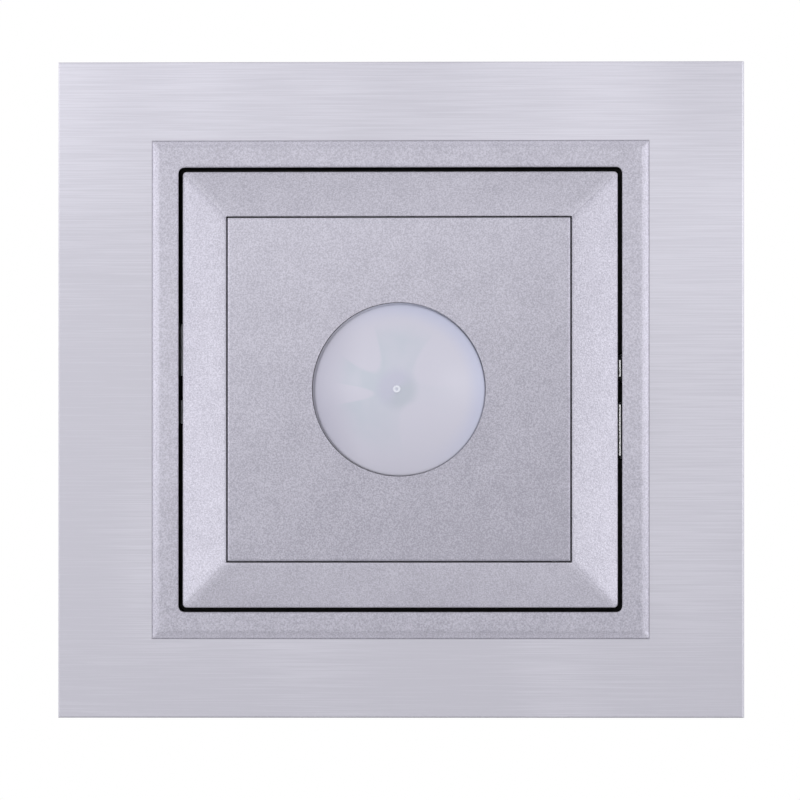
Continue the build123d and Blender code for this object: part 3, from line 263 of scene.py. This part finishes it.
# Moulded finishes: light tone, dark tone, roughness and, where they differ, grain and depth
moulded_looks = {
    "white_plastic": ((0.90, 0.90, 0.885), (0.84, 0.84, 0.82), 0.5),
    "black_plastic": ((0.085, 0.085, 0.09), (0.05, 0.05, 0.055), 0.45),
    "dark_window": ((0.10, 0.09, 0.13), (0.06, 0.05, 0.09), 0.12, 0.001, 0.000002),
    "cell_resin": ((0.78, 0.42, 0.22), (0.66, 0.30, 0.14), 0.2),
    "red_resin": ((0.80, 0.10, 0.08), (0.66, 0.05, 0.05), 0.15),
    "green_board": ((0.10, 0.38, 0.22), (0.06, 0.28, 0.15), 0.3),
    "blue_plastic": ((0.13, 0.30, 0.62), (0.09, 0.23, 0.52), 0.4),
    "grey_plastic": ((0.56, 0.57, 0.585), (0.50, 0.51, 0.525), 0.5),
    "yellow_plastic": ((0.84, 0.64, 0.14), (0.76, 0.55, 0.09), 0.3),
    "sleeved_can": ((0.09, 0.10, 0.17), (0.05, 0.06, 0.11), 0.22),
    "blue_resin": ((0.12, 0.27, 0.60), (0.08, 0.20, 0.50), 0.25),
    "grey_resin": ((0.46, 0.54, 0.49), (0.38, 0.46, 0.42), 0.6),
    "dial_plastic": ((0.88, 0.52, 0.14), (0.80, 0.43, 0.09), 0.45),
}
floor_look = ((0.95, 0.95, 0.95), (0.93, 0.93, 0.93), 0.8, 0.002, 0.00001)

# Plated finishes: light tone, dark tone, roughness and, where it differs, the spangle's size
plated_looks = {
    "sensor_can": ((0.86, 0.85, 0.82), (0.78, 0.77, 0.73), 0.25),
    "plated_screw": ((0.84, 0.82, 0.76), (0.72, 0.70, 0.63), 0.3, 0.0006),
    "zinc_steel": ((0.83, 0.84, 0.86), (0.72, 0.73, 0.76), 0.34),
    "contact_brass": ((0.84, 0.72, 0.42), (0.74, 0.61, 0.33), 0.3),
}

# Numbers by the terminals, and the ejector marks on the carrier's back
terminal_count = 4
number_size = 0.0029
number_height = 0.00012
number_sink = 0.00002
number_weight = 0.00005
number_drop = 0.0019
mark_places = [(0.038, 0.012), (0.038, 0.036), (0.012, 0.0375)]
mark_radius = 0.0011
mark_width = 0.00025
mark_height = 0.0001
mark_sink = 0.000025
mark_spokes = 32
far_behind = 0.05

# Light: place, width, height and radiance of each soft box, and the room's own
soft_boxes = {
    "left_wall": ((-1.3, -0.35, 0.0), 0.6, 1.2, 1.2),
    "right_wall": ((1.3, -0.35, 0.0), 0.6, 1.2, 1.2),
    "left_lamp": ((-0.38, -0.35, 0.05), 0.15, 0.15, 3.4),
    "right_lamp": ((0.38, -0.35, 0.05), 0.15, 0.15, 3.6),
    "key_lamp": ((-0.12, -0.35, 0.14), 0.1, 0.1, 0.9),
    "side_lamp": ((-0.16, -0.35, 0.03), 0.1, 0.1, 0.5),
}
world_strength = 0.8
floor_drop = 0.02
floor_reach = 0.55


def linear(tone):
    """A screen colour as the renderer's own values, by the standard screen curve."""
    parts = [part / 12.92 if part <= 0.04045 else ((part + 0.055) / 1.055) ** 2.4 for part in tone]
    return (*parts, 1.0)


def new_material(name, roughness, metallic=0.0):
    """A node material with its constants set on its shader. Returns the material, its tree and shader."""
    material = bpy.data.materials.new(name)
    material.use_nodes = True
    tree = material.node_tree
    shader = tree.nodes["Principled BSDF"]
    shader.inputs["Roughness"].default_value = roughness
    shader.inputs["Metallic"].default_value = metallic
    return material, tree, shader


def place(tree, mark_size=(1.0, 1.0, 1.0)):
    """Object coordinates, counted in marks of this size along each axis."""
    coordinates = tree.nodes.new("ShaderNodeTexCoord")
    mapping = tree.nodes.new("ShaderNodeMapping")
    mapping.inputs["Scale"].default_value = tuple(1 / size for size in mark_size)
    tree.links.new(coordinates.outputs["Object"], mapping.inputs["Vector"])
    return mapping.outputs["Vector"]


def object_axes(tree):
    """Places to the right, towards the back and upwards, in metres."""
    parts = tree.nodes.new("ShaderNodeSeparateXYZ")
    tree.links.new(place(tree), parts.inputs["Vector"])
    return parts.outputs["X"], parts.outputs["Y"], parts.outputs["Z"]


def noise(tree, mark_size, detail=2.0, rough=0.5):
    """Smooth noise with marks of this size along each axis."""
    node = tree.nodes.new("ShaderNodeTexNoise")
    node.inputs["Scale"].default_value = 1.0
    node.inputs["Detail"].default_value = detail
    node.inputs["Roughness"].default_value = rough
    tree.links.new(place(tree, mark_size), node.inputs["Vector"])
    return node.outputs["Fac"]


def calculate(tree, operation, first, second=0.5, third=None):
    """One operation on up to three values, which are sockets or numbers."""
    node = tree.nodes.new("ShaderNodeMath")
    node.operation = operation
    for index, value in enumerate((first, second, third)):
        if value is None:
            continue
        if isinstance(value, (int, float)):
            node.inputs[index].default_value = value
        else:
            tree.links.new(value, node.inputs[index])
    return node.outputs["Value"]


def highest(tree, masks):
    """The highest of these masks at each place."""
    top = masks[0]
    for mask in masks[1:]:
        top = calculate(tree, "MAXIMUM", top, mask)
    return top


def smooth_range(tree, value, low, high, start=0.0, end=1.0):
    """value mapped smoothly so that low gives start and high gives end."""
    node = tree.nodes.new("ShaderNodeMapRange")
    node.interpolation_type = "SMOOTHSTEP"
    node.inputs["From Min"].default_value = low
    node.inputs["From Max"].default_value = high
    node.inputs["To Min"].default_value = start
    node.inputs["To Max"].default_value = end
    tree.links.new(value, node.inputs["Value"])
    return node.outputs["Result"]


def mix(tree, share, first, second):
    """A colour between two, which are screen colours or sockets."""
    node = tree.nodes.new("ShaderNodeMix")
    node.data_type = "RGBA"
    tree.links.new(share, node.inputs[0])
    for index, value in ((6, first), (7, second)):
        if isinstance(value, tuple):
            node.inputs[index].default_value = linear(value)
        else:
            tree.links.new(value, node.inputs[index])
    return node.outputs[2]


def relief(tree, shader, height, depth, edge=soft_edge):
    """Bumps of this depth, over edges that catch the light as if rounded."""
    rounded = tree.nodes.new("ShaderNodeBevel")
    rounded.samples = bevel_samples
    rounded.inputs["Radius"].default_value = edge
    bump = tree.nodes.new("ShaderNodeBump")
    bump.inputs["Distance"].default_value = depth
    tree.links.new(height, bump.inputs["Height"])
    tree.links.new(rounded.outputs["Normal"], bump.inputs["Normal"])
    tree.links.new(bump.outputs["Normal"], shader.inputs["Normal"])


def swing_gloss(tree, shader, marks, limits, roughness, swing):
    """Roughness that falls from above its middle value to below it as the marks rise."""
    gloss = smooth_range(tree, marks, *limits, roughness + swing, roughness - swing)
    tree.links.new(gloss, shader.inputs["Roughness"])


def brushed_plate():
    """Aluminium sheet brushed from side to side, with soft broad bands and painted shade that darkens its
    lower half.
    """
    material, tree, shader = new_material("brushed_plate", plate_roughness, 1.0)
    streaks = noise(tree, (brush_length, brush_width, brush_width), brush_detail, brush_rough)
    bands = noise(tree, band_size, 1.0)
    fine = smooth_range(tree, streaks, *brush_range)
    broad = smooth_range(tree, bands, *band_range)
    banded = calculate(tree, "MULTIPLY", broad, band_share)
    share = calculate(tree, "MULTIPLY_ADD", fine, brush_share, banded)
    _, _, up = object_axes(tree)
    # painted shade: darker towards the bottom of the plate
    shade = smooth_range(tree, up, *plate_painted_shade_heights, plate_painted_shade, 0.0)
    share = calculate(tree, "ADD", share, shade)
    tree.links.new(mix(tree, share, plate_dark_tone, plate_tone), shader.inputs["Base Color"])
    swing_gloss(tree, shader, streaks, gloss_range, plate_roughness, plate_roughness_swing)
    shader.inputs["Anisotropic"].default_value = plate_anisotropy
    relief(tree, shader, streaks, brush_depth, plate_edge)
    return material


def sprayed_share(tree, sand, across, up, drift, shift):
    """How light the silver paint is: its sand, its clouds, and a slow drift across the piece that is painted
    light and shade.
    """
    clouds = noise(tree, (silver_cloud,) * 3)
    fine = smooth_range(tree, sand, *sand_range)
    base = calculate(tree, "MULTIPLY_ADD", clouds, silver_cloud_share, silver_base_share + shift)
    share = calculate(tree, "MULTIPLY_ADD", fine, sand_share, base)
    # painted light and shade: the tone drifts to the right and upwards
    share = calculate(tree, "MULTIPLY_ADD", across, drift[0], share)
    return calculate(tree, "MULTIPLY_ADD", up, drift[1], share)


def ring_share(tree, share, reach, up):
    """Painted light and shade on the ring: its lighter rim and lower slope, and its darker top and foot."""
    rim = smooth_range(tree, reach, ring_rim, ring_rim + ring_rim_reach, 0.0, ring_rim_painted_highlight)
    share = calculate(tree, "ADD", share, rim)
    share = calculate(tree, "MULTIPLY_ADD", calculate(tree, "MULTIPLY", up, up), -ring_painted_shade_sag, share)
    foot = smooth_range(tree, up, ring_foot, ring_foot - ring_foot_reach, 0.0, ring_foot_painted_highlight)
    return calculate(tree, "ADD", share, foot)


def mitred_share(tree, share, wide, high, mitre):
    """Painted light and shade near the corners' diagonals, a little lighter on one side of each and darker
    on the other.
    """
    side = calculate(tree, "SUBTRACT", high, wide)
    blend = smooth_range(tree, calculate(tree, "ABSOLUTE", side), 0.0, mitre_reach, mitre, 0.0)
    return calculate(tree, "MULTIPLY_ADD", blend, calculate(tree, "SIGN", side), share)


def spray_cover(tree, depth):
    """Where the paint lies: on what faces the front, near the front."""
    facing = tree.nodes.new("ShaderNodeSeparateXYZ")
    tree.links.new(tree.nodes.new("ShaderNodeTexCoord").outputs["Normal"], facing.inputs["Vector"])
    sprayed = smooth_range(tree, facing.outputs["Y"], *spray_facing)
    near = smooth_range(tree, depth, *spray_depths)
    return calculate(tree, "MULTIPLY", sprayed, near)


def line_cover(tree, reach, depth):
    """The paint in the line between the ring and the plate."""
    beyond = calculate(tree, "GREATER_THAN", reach, line_inner)
    within = calculate(tree, "LESS_THAN", reach, line_outer)
    shallow = calculate(tree, "LESS_THAN", depth, line_depth)
    return calculate(tree, "MULTIPLY", calculate(tree, "MULTIPLY", beyond, within), shallow)


def silver_plastic(name, drift, edge, shift=0.0, bare=crevice_shade_tone, mitre=0.0, is_ring=False):
    """Moulded plastic with a sand texture and painted light and shade, sprayed silver from the front and
    bare dark plastic elsewhere.
    """
    material, tree, shader = new_material(name, silver_roughness)
    sand = noise(tree, (sand_grain,) * 3, rough=sand_rough)
    specks = noise(tree, (speck_grain,) * 3, 1.0)
    across, depth, up = object_axes(tree)
    wide = calculate(tree, "ABSOLUTE", across)
    high = calculate(tree, "ABSOLUTE", up)
    reach = calculate(tree, "MAXIMUM", wide, high)
    share = sprayed_share(tree, sand, across, up, drift, shift)
    painted = spray_cover(tree, depth)
    if is_ring:
        share = ring_share(tree, share, reach, up)
        painted = calculate(tree, "MAXIMUM", painted, line_cover(tree, reach, depth))
    share = mitred_share(tree, share, wide, high, mitre)
    silver = mix(tree, share, silver_dark_tone, silver_tone)
    # what is not sprayed takes the bare tone, which is partly painted shade in the gaps
    tree.links.new(mix(tree, painted, bare, silver), shader.inputs["Base Color"])
    tree.links.new(calculate(tree, "MULTIPLY", painted, silver_metallic), shader.inputs["Metallic"])
    swing_gloss(tree, shader, specks, speck_range, silver_roughness, silver_roughness_swing)
    shader.inputs["Specular IOR Level"].default_value = silver_specular
    relief(tree, shader, sand, sand_depth, edge)
    return material


def lens_fields(tree):
    """Places across and up from the lens axis, the distance from it and the angle round it."""
    across, _, up = object_axes(tree)
    squares = calculate(tree, "MULTIPLY_ADD", up, up, calculate(tree, "MULTIPLY", across, across))
    return across, up, calculate(tree, "SQRT", squares), calculate(tree, "ARCTAN2", up, across)


def wedge(tree, across, up, tip_across, tip_up, way, narrowness):
    """A soft mask for a wedge that opens outwards from its rounded tip."""
    turn = radians(way)
    off_across = calculate(tree, "SUBTRACT", across, tip_across)
    off_up = calculate(tree, "SUBTRACT", up, tip_up)
    rise = calculate(tree, "MULTIPLY", off_up, sin(turn))
    along = calculate(tree, "MULTIPLY_ADD", off_across, cos(turn), rise)
    run = calculate(tree, "MULTIPLY", off_across, -sin(turn))
    aside = calculate(tree, "MULTIPLY_ADD", off_up, cos(turn), run)
    spread = calculate(tree, "MULTIPLY", calculate(tree, "MULTIPLY", aside, aside), float(narrowness))
    inside = calculate(tree, "SUBTRACT", along, spread)
    return smooth_range(tree, inside, *wedge_softness)


def towards(tree, angle, way):
    """How far an angle round the lens points this way, from -1 to 1."""
    return calculate(tree, "COSINE", calculate(tree, "SUBTRACT", angle, radians(way)))


def between_wedges(tree, across, up):
    """A mask for what lies outside all the bright wedges."""
    bright = highest(tree, [wedge(tree, across, up, *shape) for shape in lens_wedges])
    return calculate(tree, "SUBTRACT", 1.0, bright)


def leaf_share(tree, dark, distance, angle):
    """How strong the blue-grey of the leaves is: it fades outwards and is strongest one way."""
    fade = smooth_range(tree, distance, *leaf_fade, 1.0, 0.0)
    strength = calculate(tree, "MULTIPLY_ADD", towards(tree, angle, leaf_way), leaf_swing, leaf_strength)
    clouds = smooth_range(tree, noise(tree, (leaf_cloud,) * 3, 1.0), *leaf_cloud_range)
    shape = calculate(tree, "MULTIPLY", dark, fade)
    return calculate(tree, "MULTIPLY", shape, calculate(tree, "MULTIPLY", strength, clouds))


def lens_core(tree, dark, distance, angle, colour):
    """This colour with the lens's darker core over it."""
    core_side = smooth_range(tree, towards(tree, angle, core_way), *core_way_range)
    core_colour = mix(tree, core_side, core_tone, core_low_tone)
    near_core = smooth_range(tree, distance, *core_fade, core_strength, 0.0)
    return mix(tree, calculate(tree, "MULTIPLY", near_core, dark), colour, core_colour)


def lens_rim(tree, across, distance, angle, colour):
    """This colour with the bluer rim at one side and painted shade at the other."""
    rim = smooth_range(tree, distance, *rim_fade)
    rim_side = smooth_range(tree, towards(tree, angle, rim_way), *rim_way_range)
    rimmed = mix(tree, calculate(tree, "MULTIPLY", rim, rim_side), colour, rim_tone)
    return mix(tree, smooth_range(tree, across, *side_fade), rimmed, lens_painted_shade_tone)


def lens_nub(tree, distance, colour):
    """This colour with the pale nub and its dimple over it."""
    nub = smooth_range(tree, distance, *nub_fade, 1.0, 0.0)
    dimple = smooth_range(tree, distance, *dimple_fade, dimple_tone_share, 1.0)
    return mix(tree, calculate(tree, "MULTIPLY", nub, dimple), colour, nub_tone)


def milky_lens():
    """Milky plastic in which the inner facets show as soft blue-grey leaves between bright wedges."""
    material, tree, shader = new_material("milky_lens", lens_roughness)
    across, up, distance, angle = lens_fields(tree)
    dark = between_wedges(tree, across, up)
    colour = mix(tree, leaf_share(tree, dark, distance, angle), lens_tone, leaf_tone)
    colour = lens_core(tree, dark, distance, angle, colour)
    colour = lens_rim(tree, across, distance, angle, colour)
    colour = lens_nub(tree, distance, colour)
    tree.links.new(colour, shader.inputs["Base Color"])
    shader.inputs["Coat Weight"].default_value = lens_coat
    shader.inputs["Coat Roughness"].default_value = lens_coat_roughness
    relief(tree, shader, noise(tree, (ripple_size,) * 3), ripple_depth, lens_edge)
    return material


def moulded(name, tone, dark_tone, roughness, grain=mould_grain, depth=mould_depth):
    """Moulded plastic or resin with a fine grain and slight clouds of tone."""
    material, tree, shader = new_material(name, roughness)
    marks = noise(tree, (grain,) * 3, mould_detail, mould_rough)
    clouds = noise(tree, (mould_cloud,) * 3)
    share = calculate(tree, "MULTIPLY_ADD", marks, 0.5, calculate(tree, "MULTIPLY", clouds, 0.5))
    tree.links.new(mix(tree, share, dark_tone, tone), shader.inputs["Base Color"])
    swing_gloss(tree, shader, marks, gloss_range, roughness, mould_gloss_swing)
    relief(tree, shader, marks, depth)
    return material


def plated(name, tone, dark_tone, roughness, spangle=plated_spangle):
    """Plated metal with a faint spangle, drawn streaks and a rougher bloom."""
    material, tree, shader = new_material(name, roughness, 1.0)
    cells = tree.nodes.new("ShaderNodeTexVoronoi")
    tree.links.new(place(tree, (spangle,) * 3), cells.inputs["Vector"])
    cells.inputs["Scale"].default_value = 1.0
    grey = tree.nodes.new("ShaderNodeSeparateColor")
    tree.links.new(cells.outputs["Color"], grey.inputs["Color"])
    bloom = noise(tree, (plated_bloom,) * 3, plated_detail)
    cloudy = calculate(tree, "MULTIPLY", bloom, 1.0 - spangle_share)
    share = calculate(tree, "MULTIPLY_ADD", grey.outputs["Red"], spangle_share, cloudy)
    dullest = roughness + plated_duller
    glossiest = roughness - plated_glossier
    gloss = smooth_range(tree, bloom, *plated_bloom_range, dullest, glossiest)
    tree.links.new(mix(tree, share, dark_tone, tone), shader.inputs["Base Color"])
    tree.links.new(gloss, shader.inputs["Roughness"])
    relief(tree, shader, noise(tree, scratch_size, plated_detail), scratch_depth)
    return material


def burnished_band(tree, across, up):
    """A mask for the bright bands on the sheared tips, which are partly burnish and partly painted
    highlight.
    """
    beside = smooth_range(tree, across, band_edge, band_edge - band_softness)
    heights = []
    for middle, half in band_heights:
        off = calculate(tree, "ABSOLUTE", calculate(tree, "SUBTRACT", up, middle))
        heights.append(smooth_range(tree, off, half, half - band_end_softness))
    return calculate(tree, "MULTIPLY", beside, highest(tree, heights))


def sheared_steel():
    """Plated steel whose sheared tongue tips show a bright burnished band beside a dark torn one: partly
    real shear marks, partly painted highlight and painted shade.
    """
    material = plated("sheared_steel", *plated_looks["zinc_steel"])
    tree = material.node_tree
    shader = tree.nodes["Principled BSDF"]
    plain_colour = shader.inputs["Base Color"].links[0].from_socket
    plain_gloss = shader.inputs["Roughness"].links[0].from_socket
    across, depth, up = object_axes(tree)
    tip = smooth_range(tree, depth, *tip_depths)
    bright = burnished_band(tree, across, up)
    # painted highlight in the bright band, painted shade in the dark torn part
    sheared = mix(tree, bright, torn_and_shade_tone, burnished_highlight_tone)
    tree.links.new(mix(tree, tip, plain_colour, sheared), shader.inputs["Base Color"])
    polish = calculate(tree, "MULTIPLY_ADD", calculate(tree, "MULTIPLY", tip, bright), -burnish, 1.0)
    tree.links.new(calculate(tree, "MULTIPLY", plain_gloss, polish), shader.inputs["Roughness"])
    return material


def finishes():
    """The material of each of the record's slots."""
    ring = silver_plastic("silver_plastic", ring_painted_shade_drift, ring_edge, ring_shift, raw_and_shade_tone, is_ring=True)
    made = {"brushed_plate": brushed_plate(), "silver_plastic": ring, "milky_lens": milky_lens()}
    for name, look in moulded_looks.items():
        made[name] = moulded(name, *look)
    for name, look in plated_looks.items():
        made[name] = plated(name, *look)
    return made


def paint_nodes(materials):
    """Gives each CAD node its finish and shades its round faces smoothly."""
    bezel = silver_plastic("silver_bezel", bezel_painted_shade_drift, worn_edge, bezel_shift, mitre=mitre_painted_shade)
    own_paint = {
        "sensor_face": silver_plastic("silver_face", face_painted_shade_drift, soft_edge, face_shift),
        "cover_bezel": bezel,
        "support_frame": sheared_steel(),
    }
    for row in frame["record"]["subparts"]:
        mesh = nodes[row["node"]].data
        mesh.materials.clear()
        mesh.materials.append(own_paint.get(row["node"], materials[row["material_slot"]]))
        mesh.shade_smooth()
        mesh.set_sharp_from_angle(angle=smooth_angle)


def new_piece(name, mesh_maker, material, body):
    """A piece made of one mesh, riding on a body and finished from a slot."""
    builder = bmesh.new()
    mesh_maker(builder)
    bmesh.ops.recalc_face_normals(builder, faces=builder.faces)
    mesh = bpy.data.meshes.new(name)
    builder.to_mesh(mesh)
    builder.free()
    mesh.materials.append(material)
    mesh.shade_smooth()
    mesh.set_sharp_from_angle(angle=smooth_angle)
    piece = bpy.data.objects.new(name, mesh)
    bpy.context.scene.collection.objects.link(piece)
    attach(piece, body)
    return piece


def skin(builder, rings):
    """Faces between neighbouring rings of corners, each closed round. A ring of one corner is a pole."""
    for near, far in zip(rings, rings[1:]):
        count = max(len(near), len(far))
        for spoke in range(count):
            step = (spoke + 1) % count
            corners = [near[spoke % len(near)], near[step % len(near)]]
            corners += [far[step % len(far)], far[spoke % len(far)]]
            kept = [corner for index, corner in enumerate(corners) if corner not in corners[:index]]
            builder.faces.new(kept)


def lens_levels():
    """Heights of the lens's nub, shoulder and flange towards the front, and the ball its dome lies on."""
    low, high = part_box("fresnel_lens")
    face_low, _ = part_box("sensor_face")
    face_front = -face_low.y
    nub_front = -low.y
    dome_top = nub_front - nub_rise
    rise = dome_top - (face_front - dome_sink)
    ball = (dome_edge**2 + rise**2) / (2 * rise)
    return SimpleNamespace(
        nub_front=nub_front,
        shoulder=face_front - shoulder_drop,
        flange_front=face_front - flange_sink,
        flange_rear=-high.y,
        flange_radius=high.x,
        ball=ball,
        centre=dome_top - ball,
    )


def lens_outside(levels):
    """The front's outline from the nub's middle to the flange's inner edge, as (across, height) pairs."""
    dimple_level = levels.nub_front - nub_lip
    slope_level = levels.nub_front - nub_lip * lip_slope
    outline = [
        (0.0, dimple_level),
        (nub_dimple * dimple_floor, dimple_level),
        (nub_dimple, slope_level),
        (nub_dimple * dimple_crest, levels.nub_front),
        (nub_radius * nub_crest, levels.nub_front),
        (nub_radius, slope_level),
    ]
    dome_start = nub_radius * nub_foot
    for ring in range(lens_rings + 1):
        across = dome_start + (dome_edge - dome_start) * ring / lens_rings
        outline.append((across, levels.centre + sqrt(levels.ball**2 - across**2)))
    outline += [
        (dome_edge, levels.shoulder),
        (shoulder_radius, levels.shoulder),
        (shoulder_radius, levels.flange_front),
        (levels.flange_radius, levels.flange_front),
        (levels.flange_radius, levels.flange_rear),
        (dome_edge - lens_wall, levels.flange_rear),
    ]
    return outline


def outer_ring(builder, across, height):
    """A closed ring of corners round the lens axis, shifted one way up to the dome's edge, or its pole."""
    shift = edge_shift * (across / dome_edge) ** edge_shift_power if across <= dome_edge else 0.0
    corners = []
    for spoke in range(lens_spokes if across else 1):
        angle = 2 * pi * spoke / lens_spokes
        reach = across + shift * cos(angle - edge_shift_way)
        corners.append(builder.verts.new((reach * cos(angle), -height, reach * sin(angle))))
    return corners


def facet_ways():
    """The directions in which the inner facets face: the middle one, the petals and the rim facets."""
    ways = [(0.0, 0.0)]
    ways += [(petal_tilt, pi / 2 + 2 * pi * petal / petal_count) for petal in range(petal_count)]
    ways += [(rim_facet_tilt, pi / 2 + pi * facet / petal_count) for facet in range(2 * petal_count)]
    return [Vector((sin(tilt) * cos(turn), cos(tilt), sin(tilt) * sin(turn))) for tilt, turn in ways]


def inner_height(levels, ways, x, z):
    """Height of the stepped inside at this point: the lowest facet plane, less its groove."""
    inner_radius = levels.ball - lens_wall
    heights = [((inner_radius - way.x * x - way.z * z) / way.y, way) for way in ways]
    height, way = min(heights, key=lambda pair: pair[0])
    off_axis = hypot(x - inner_radius * way.x, z - inner_radius * way.z)
    groove = (off_axis / groove_pitch) % 1.0 * groove_depth
    return max(levels.centre + height - groove, levels.flange_rear + groove_depth)


def inner_ring(builder, across, levels, ways):
    """A closed ring of corners on the stepped inside, or its pole."""
    corners = []
    for spoke in range(lens_spokes if across else 1):
        angle = 2 * pi * spoke / lens_spokes
        x = across * cos(angle)
        z = across * sin(angle)
        corners.append(builder.verts.new((x, -inner_height(levels, ways, x, z), z)))
    return corners


def build_lens(builder):
    """A smooth domed front with the moulding nub, and an inside of petals with fine stepped grooves."""
    levels = lens_levels()
    ways = facet_ways()
    rings = [outer_ring(builder, across, height) for across, height in lens_outside(levels)]
    inner_edge = dome_edge - lens_wall
    for ring in range(lens_rings, -1, -1):
        rings.append(inner_ring(builder, inner_edge * ring / lens_rings, levels, ways))
    skin(builder, rings)


def rear_surface(node, across, up):
    """How far back this CAD node's rear surface lies at a place."""
    start = Vector((across, cad_box[1].y + far_behind, up))
    hit, place_hit, _, _ = nodes[node].ray_cast(start, Vector((0, -1, 0)))
    assert hit, f"{node} has no surface there"
    return place_hit.y


def terminal_numbers(material):
    """Plain printed numbers on the housing, one under each terminal screw."""
    # columns: the text's right is -X, its top +Z, and it faces +Y
    turn = Matrix(((-1, 0, 0), (0, 0, 1), (0, 1, 0))).to_4x4()
    for number in range(1, terminal_count + 1):
        low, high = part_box(f"terminal_screw_{number}")
        across = (low.x + high.x) / 2
        up = low.z - number_drop
        text = bpy.data.curves.new(f"terminal_number_{number}", "FONT")
        text.body = str(number)
        text.size = number_size
        text.extrude = number_height / 2
        text.offset = number_weight
        text.align_x = "CENTER"
        text.align_y = "CENTER"
        text.materials.append(material)
        piece = bpy.data.objects.new(f"terminal_number_{number}", text)
        bpy.context.scene.collection.objects.link(piece)
        level = rear_surface("rear_housing", across, up) + number_height / 2 - number_sink
        piece.matrix_world = Matrix.Translation((across, level, up)) @ turn
        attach(piece, "device")


def raised_ring(builder, middle_across, middle_up, level):
    """One thin raised ring that stands on a surface facing the back."""
    profile = [(0, 0.0), (mark_width / 3, mark_height), (2 * mark_width / 3, mark_height), (mark_width, 0.0)]
    rings = []
    for out, height in profile:
        reach = mark_radius + out
        corners = []
        for spoke in range(mark_spokes):
            angle = 2 * pi * spoke / mark_spokes
            across = middle_across + reach * cos(angle)
            up = middle_up + reach * sin(angle)
            corners.append(builder.verts.new((across, level + height, up)))
        rings.append(corners)
    skin(builder, rings + rings[:1])


def build_ejector_marks(builder):
    """Faint raised rings which the ejector pins leave on the back of the moulded carrier."""
    for side_across in (-1, 1):
        for side_up in (-1, 1):
            for across, up in mark_places:
                level = rear_surface("frame_carrier", side_across * across, side_up * up) - mark_sink
                raised_ring(builder, side_across * across, side_up * up, level)


def set_camera():
    """The photograph's camera, aimed so that the plate sits where it does there."""
    low, high = cad_box
    middle = Vector(((low.x + high.x) / 2, aim_depth, (low.z + high.z) / 2))
    back = Vector((
        sin(camera_azimuth) * cos(camera_elevation),
        -cos(camera_azimuth) * cos(camera_elevation),
        sin(camera_elevation),
    ))
    camera = bpy.data.objects.new("camera", bpy.data.cameras.new("camera"))
    bpy.context.scene.collection.objects.link(camera)
    camera.data.sensor_width = sensor_width * mm_per_m
    camera.data.lens = sensor_width * mm_per_m * camera_distance / picture_width
    camera.location = middle + Vector((-aim_left, 0, -aim_below)) + back * camera_distance
    camera.rotation_mode = "QUATERNION"
    camera.rotation_quaternion = (-back).to_track_quat("-Z", "Y")
    camera.data.clip_start = clip_near
    camera.data.clip_end = clip_far
    bpy.context.scene.camera = camera


def soft_box(name, location, width, height, radiance):
    """A rectangular lamp that faces the object and shines evenly with this radiance."""
    lamp = bpy.data.lights.new(name, "AREA")
    lamp.shape = "RECTANGLE"
    lamp.size = width
    lamp.size_y = height
    lamp.energy = radiance * width * height * pi
    holder = bpy.data.objects.new(name, lamp)
    bpy.context.scene.collection.objects.link(holder)
    holder.location = location
    holder.rotation_mode = "QUATERNION"
    holder.rotation_quaternion = (Vector(location)).to_track_quat("Z", "Y")


def set_lights():
    """Walls of light and lamps at both sides, a small key and side lamp in front, and a plain white room."""
    for name, look in soft_boxes.items():
        soft_box(name, *look)
    world = bpy.data.worlds.new("room")
    world.use_nodes = True
    bpy.context.scene.world = world
    tree = world.node_tree
    background = tree.nodes["Background"]
    background.inputs["Color"].default_value = (1.0, 1.0, 1.0, 1.0)
    path = tree.nodes.new("ShaderNodeLightPath")
    seen = calculate(tree, "MAXIMUM", path.outputs["Is Camera Ray"], path.outputs["Is Glossy Ray"])
    seen = calculate(tree, "MAXIMUM", seen, path.outputs["Is Transmission Ray"])
    strength = calculate(tree, "MULTIPLY_ADD", seen, 1.0 - world_strength, world_strength)
    tree.links.new(strength, background.inputs["Strength"])


def pale_floor():
    """A pale matt floor under the object, which keeps its shadow."""
    level = cad_box[0].z - floor_drop
    builder = bmesh.new()
    corners = []
    for side_across, side_deep in ((-1, -1), (1, -1), (1, 1), (-1, 1)):
        corners.append(builder.verts.new((side_across * floor_reach, side_deep * floor_reach, level)))
    builder.faces.new(corners)
    mesh = bpy.data.meshes.new("floor")
    builder.to_mesh(mesh)
    builder.free()
    mesh.materials.append(moulded("floor_paint", *floor_look))
    floor = bpy.data.objects.new("floor", mesh)
    bpy.context.scene.collection.objects.link(floor)


materials = finishes()
paint_nodes(materials)
lens = new_piece("milky_dome", build_lens, materials["milky_lens"], "device")
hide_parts("fresnel_lens")
terminal_numbers(materials["white_plastic"])
new_piece("ejector_marks", build_ejector_marks, materials["silver_plastic"], "device")
set_camera()
set_lights()
pale_floor()
bpy.context.scene.view_settings.view_transform = "Standard"
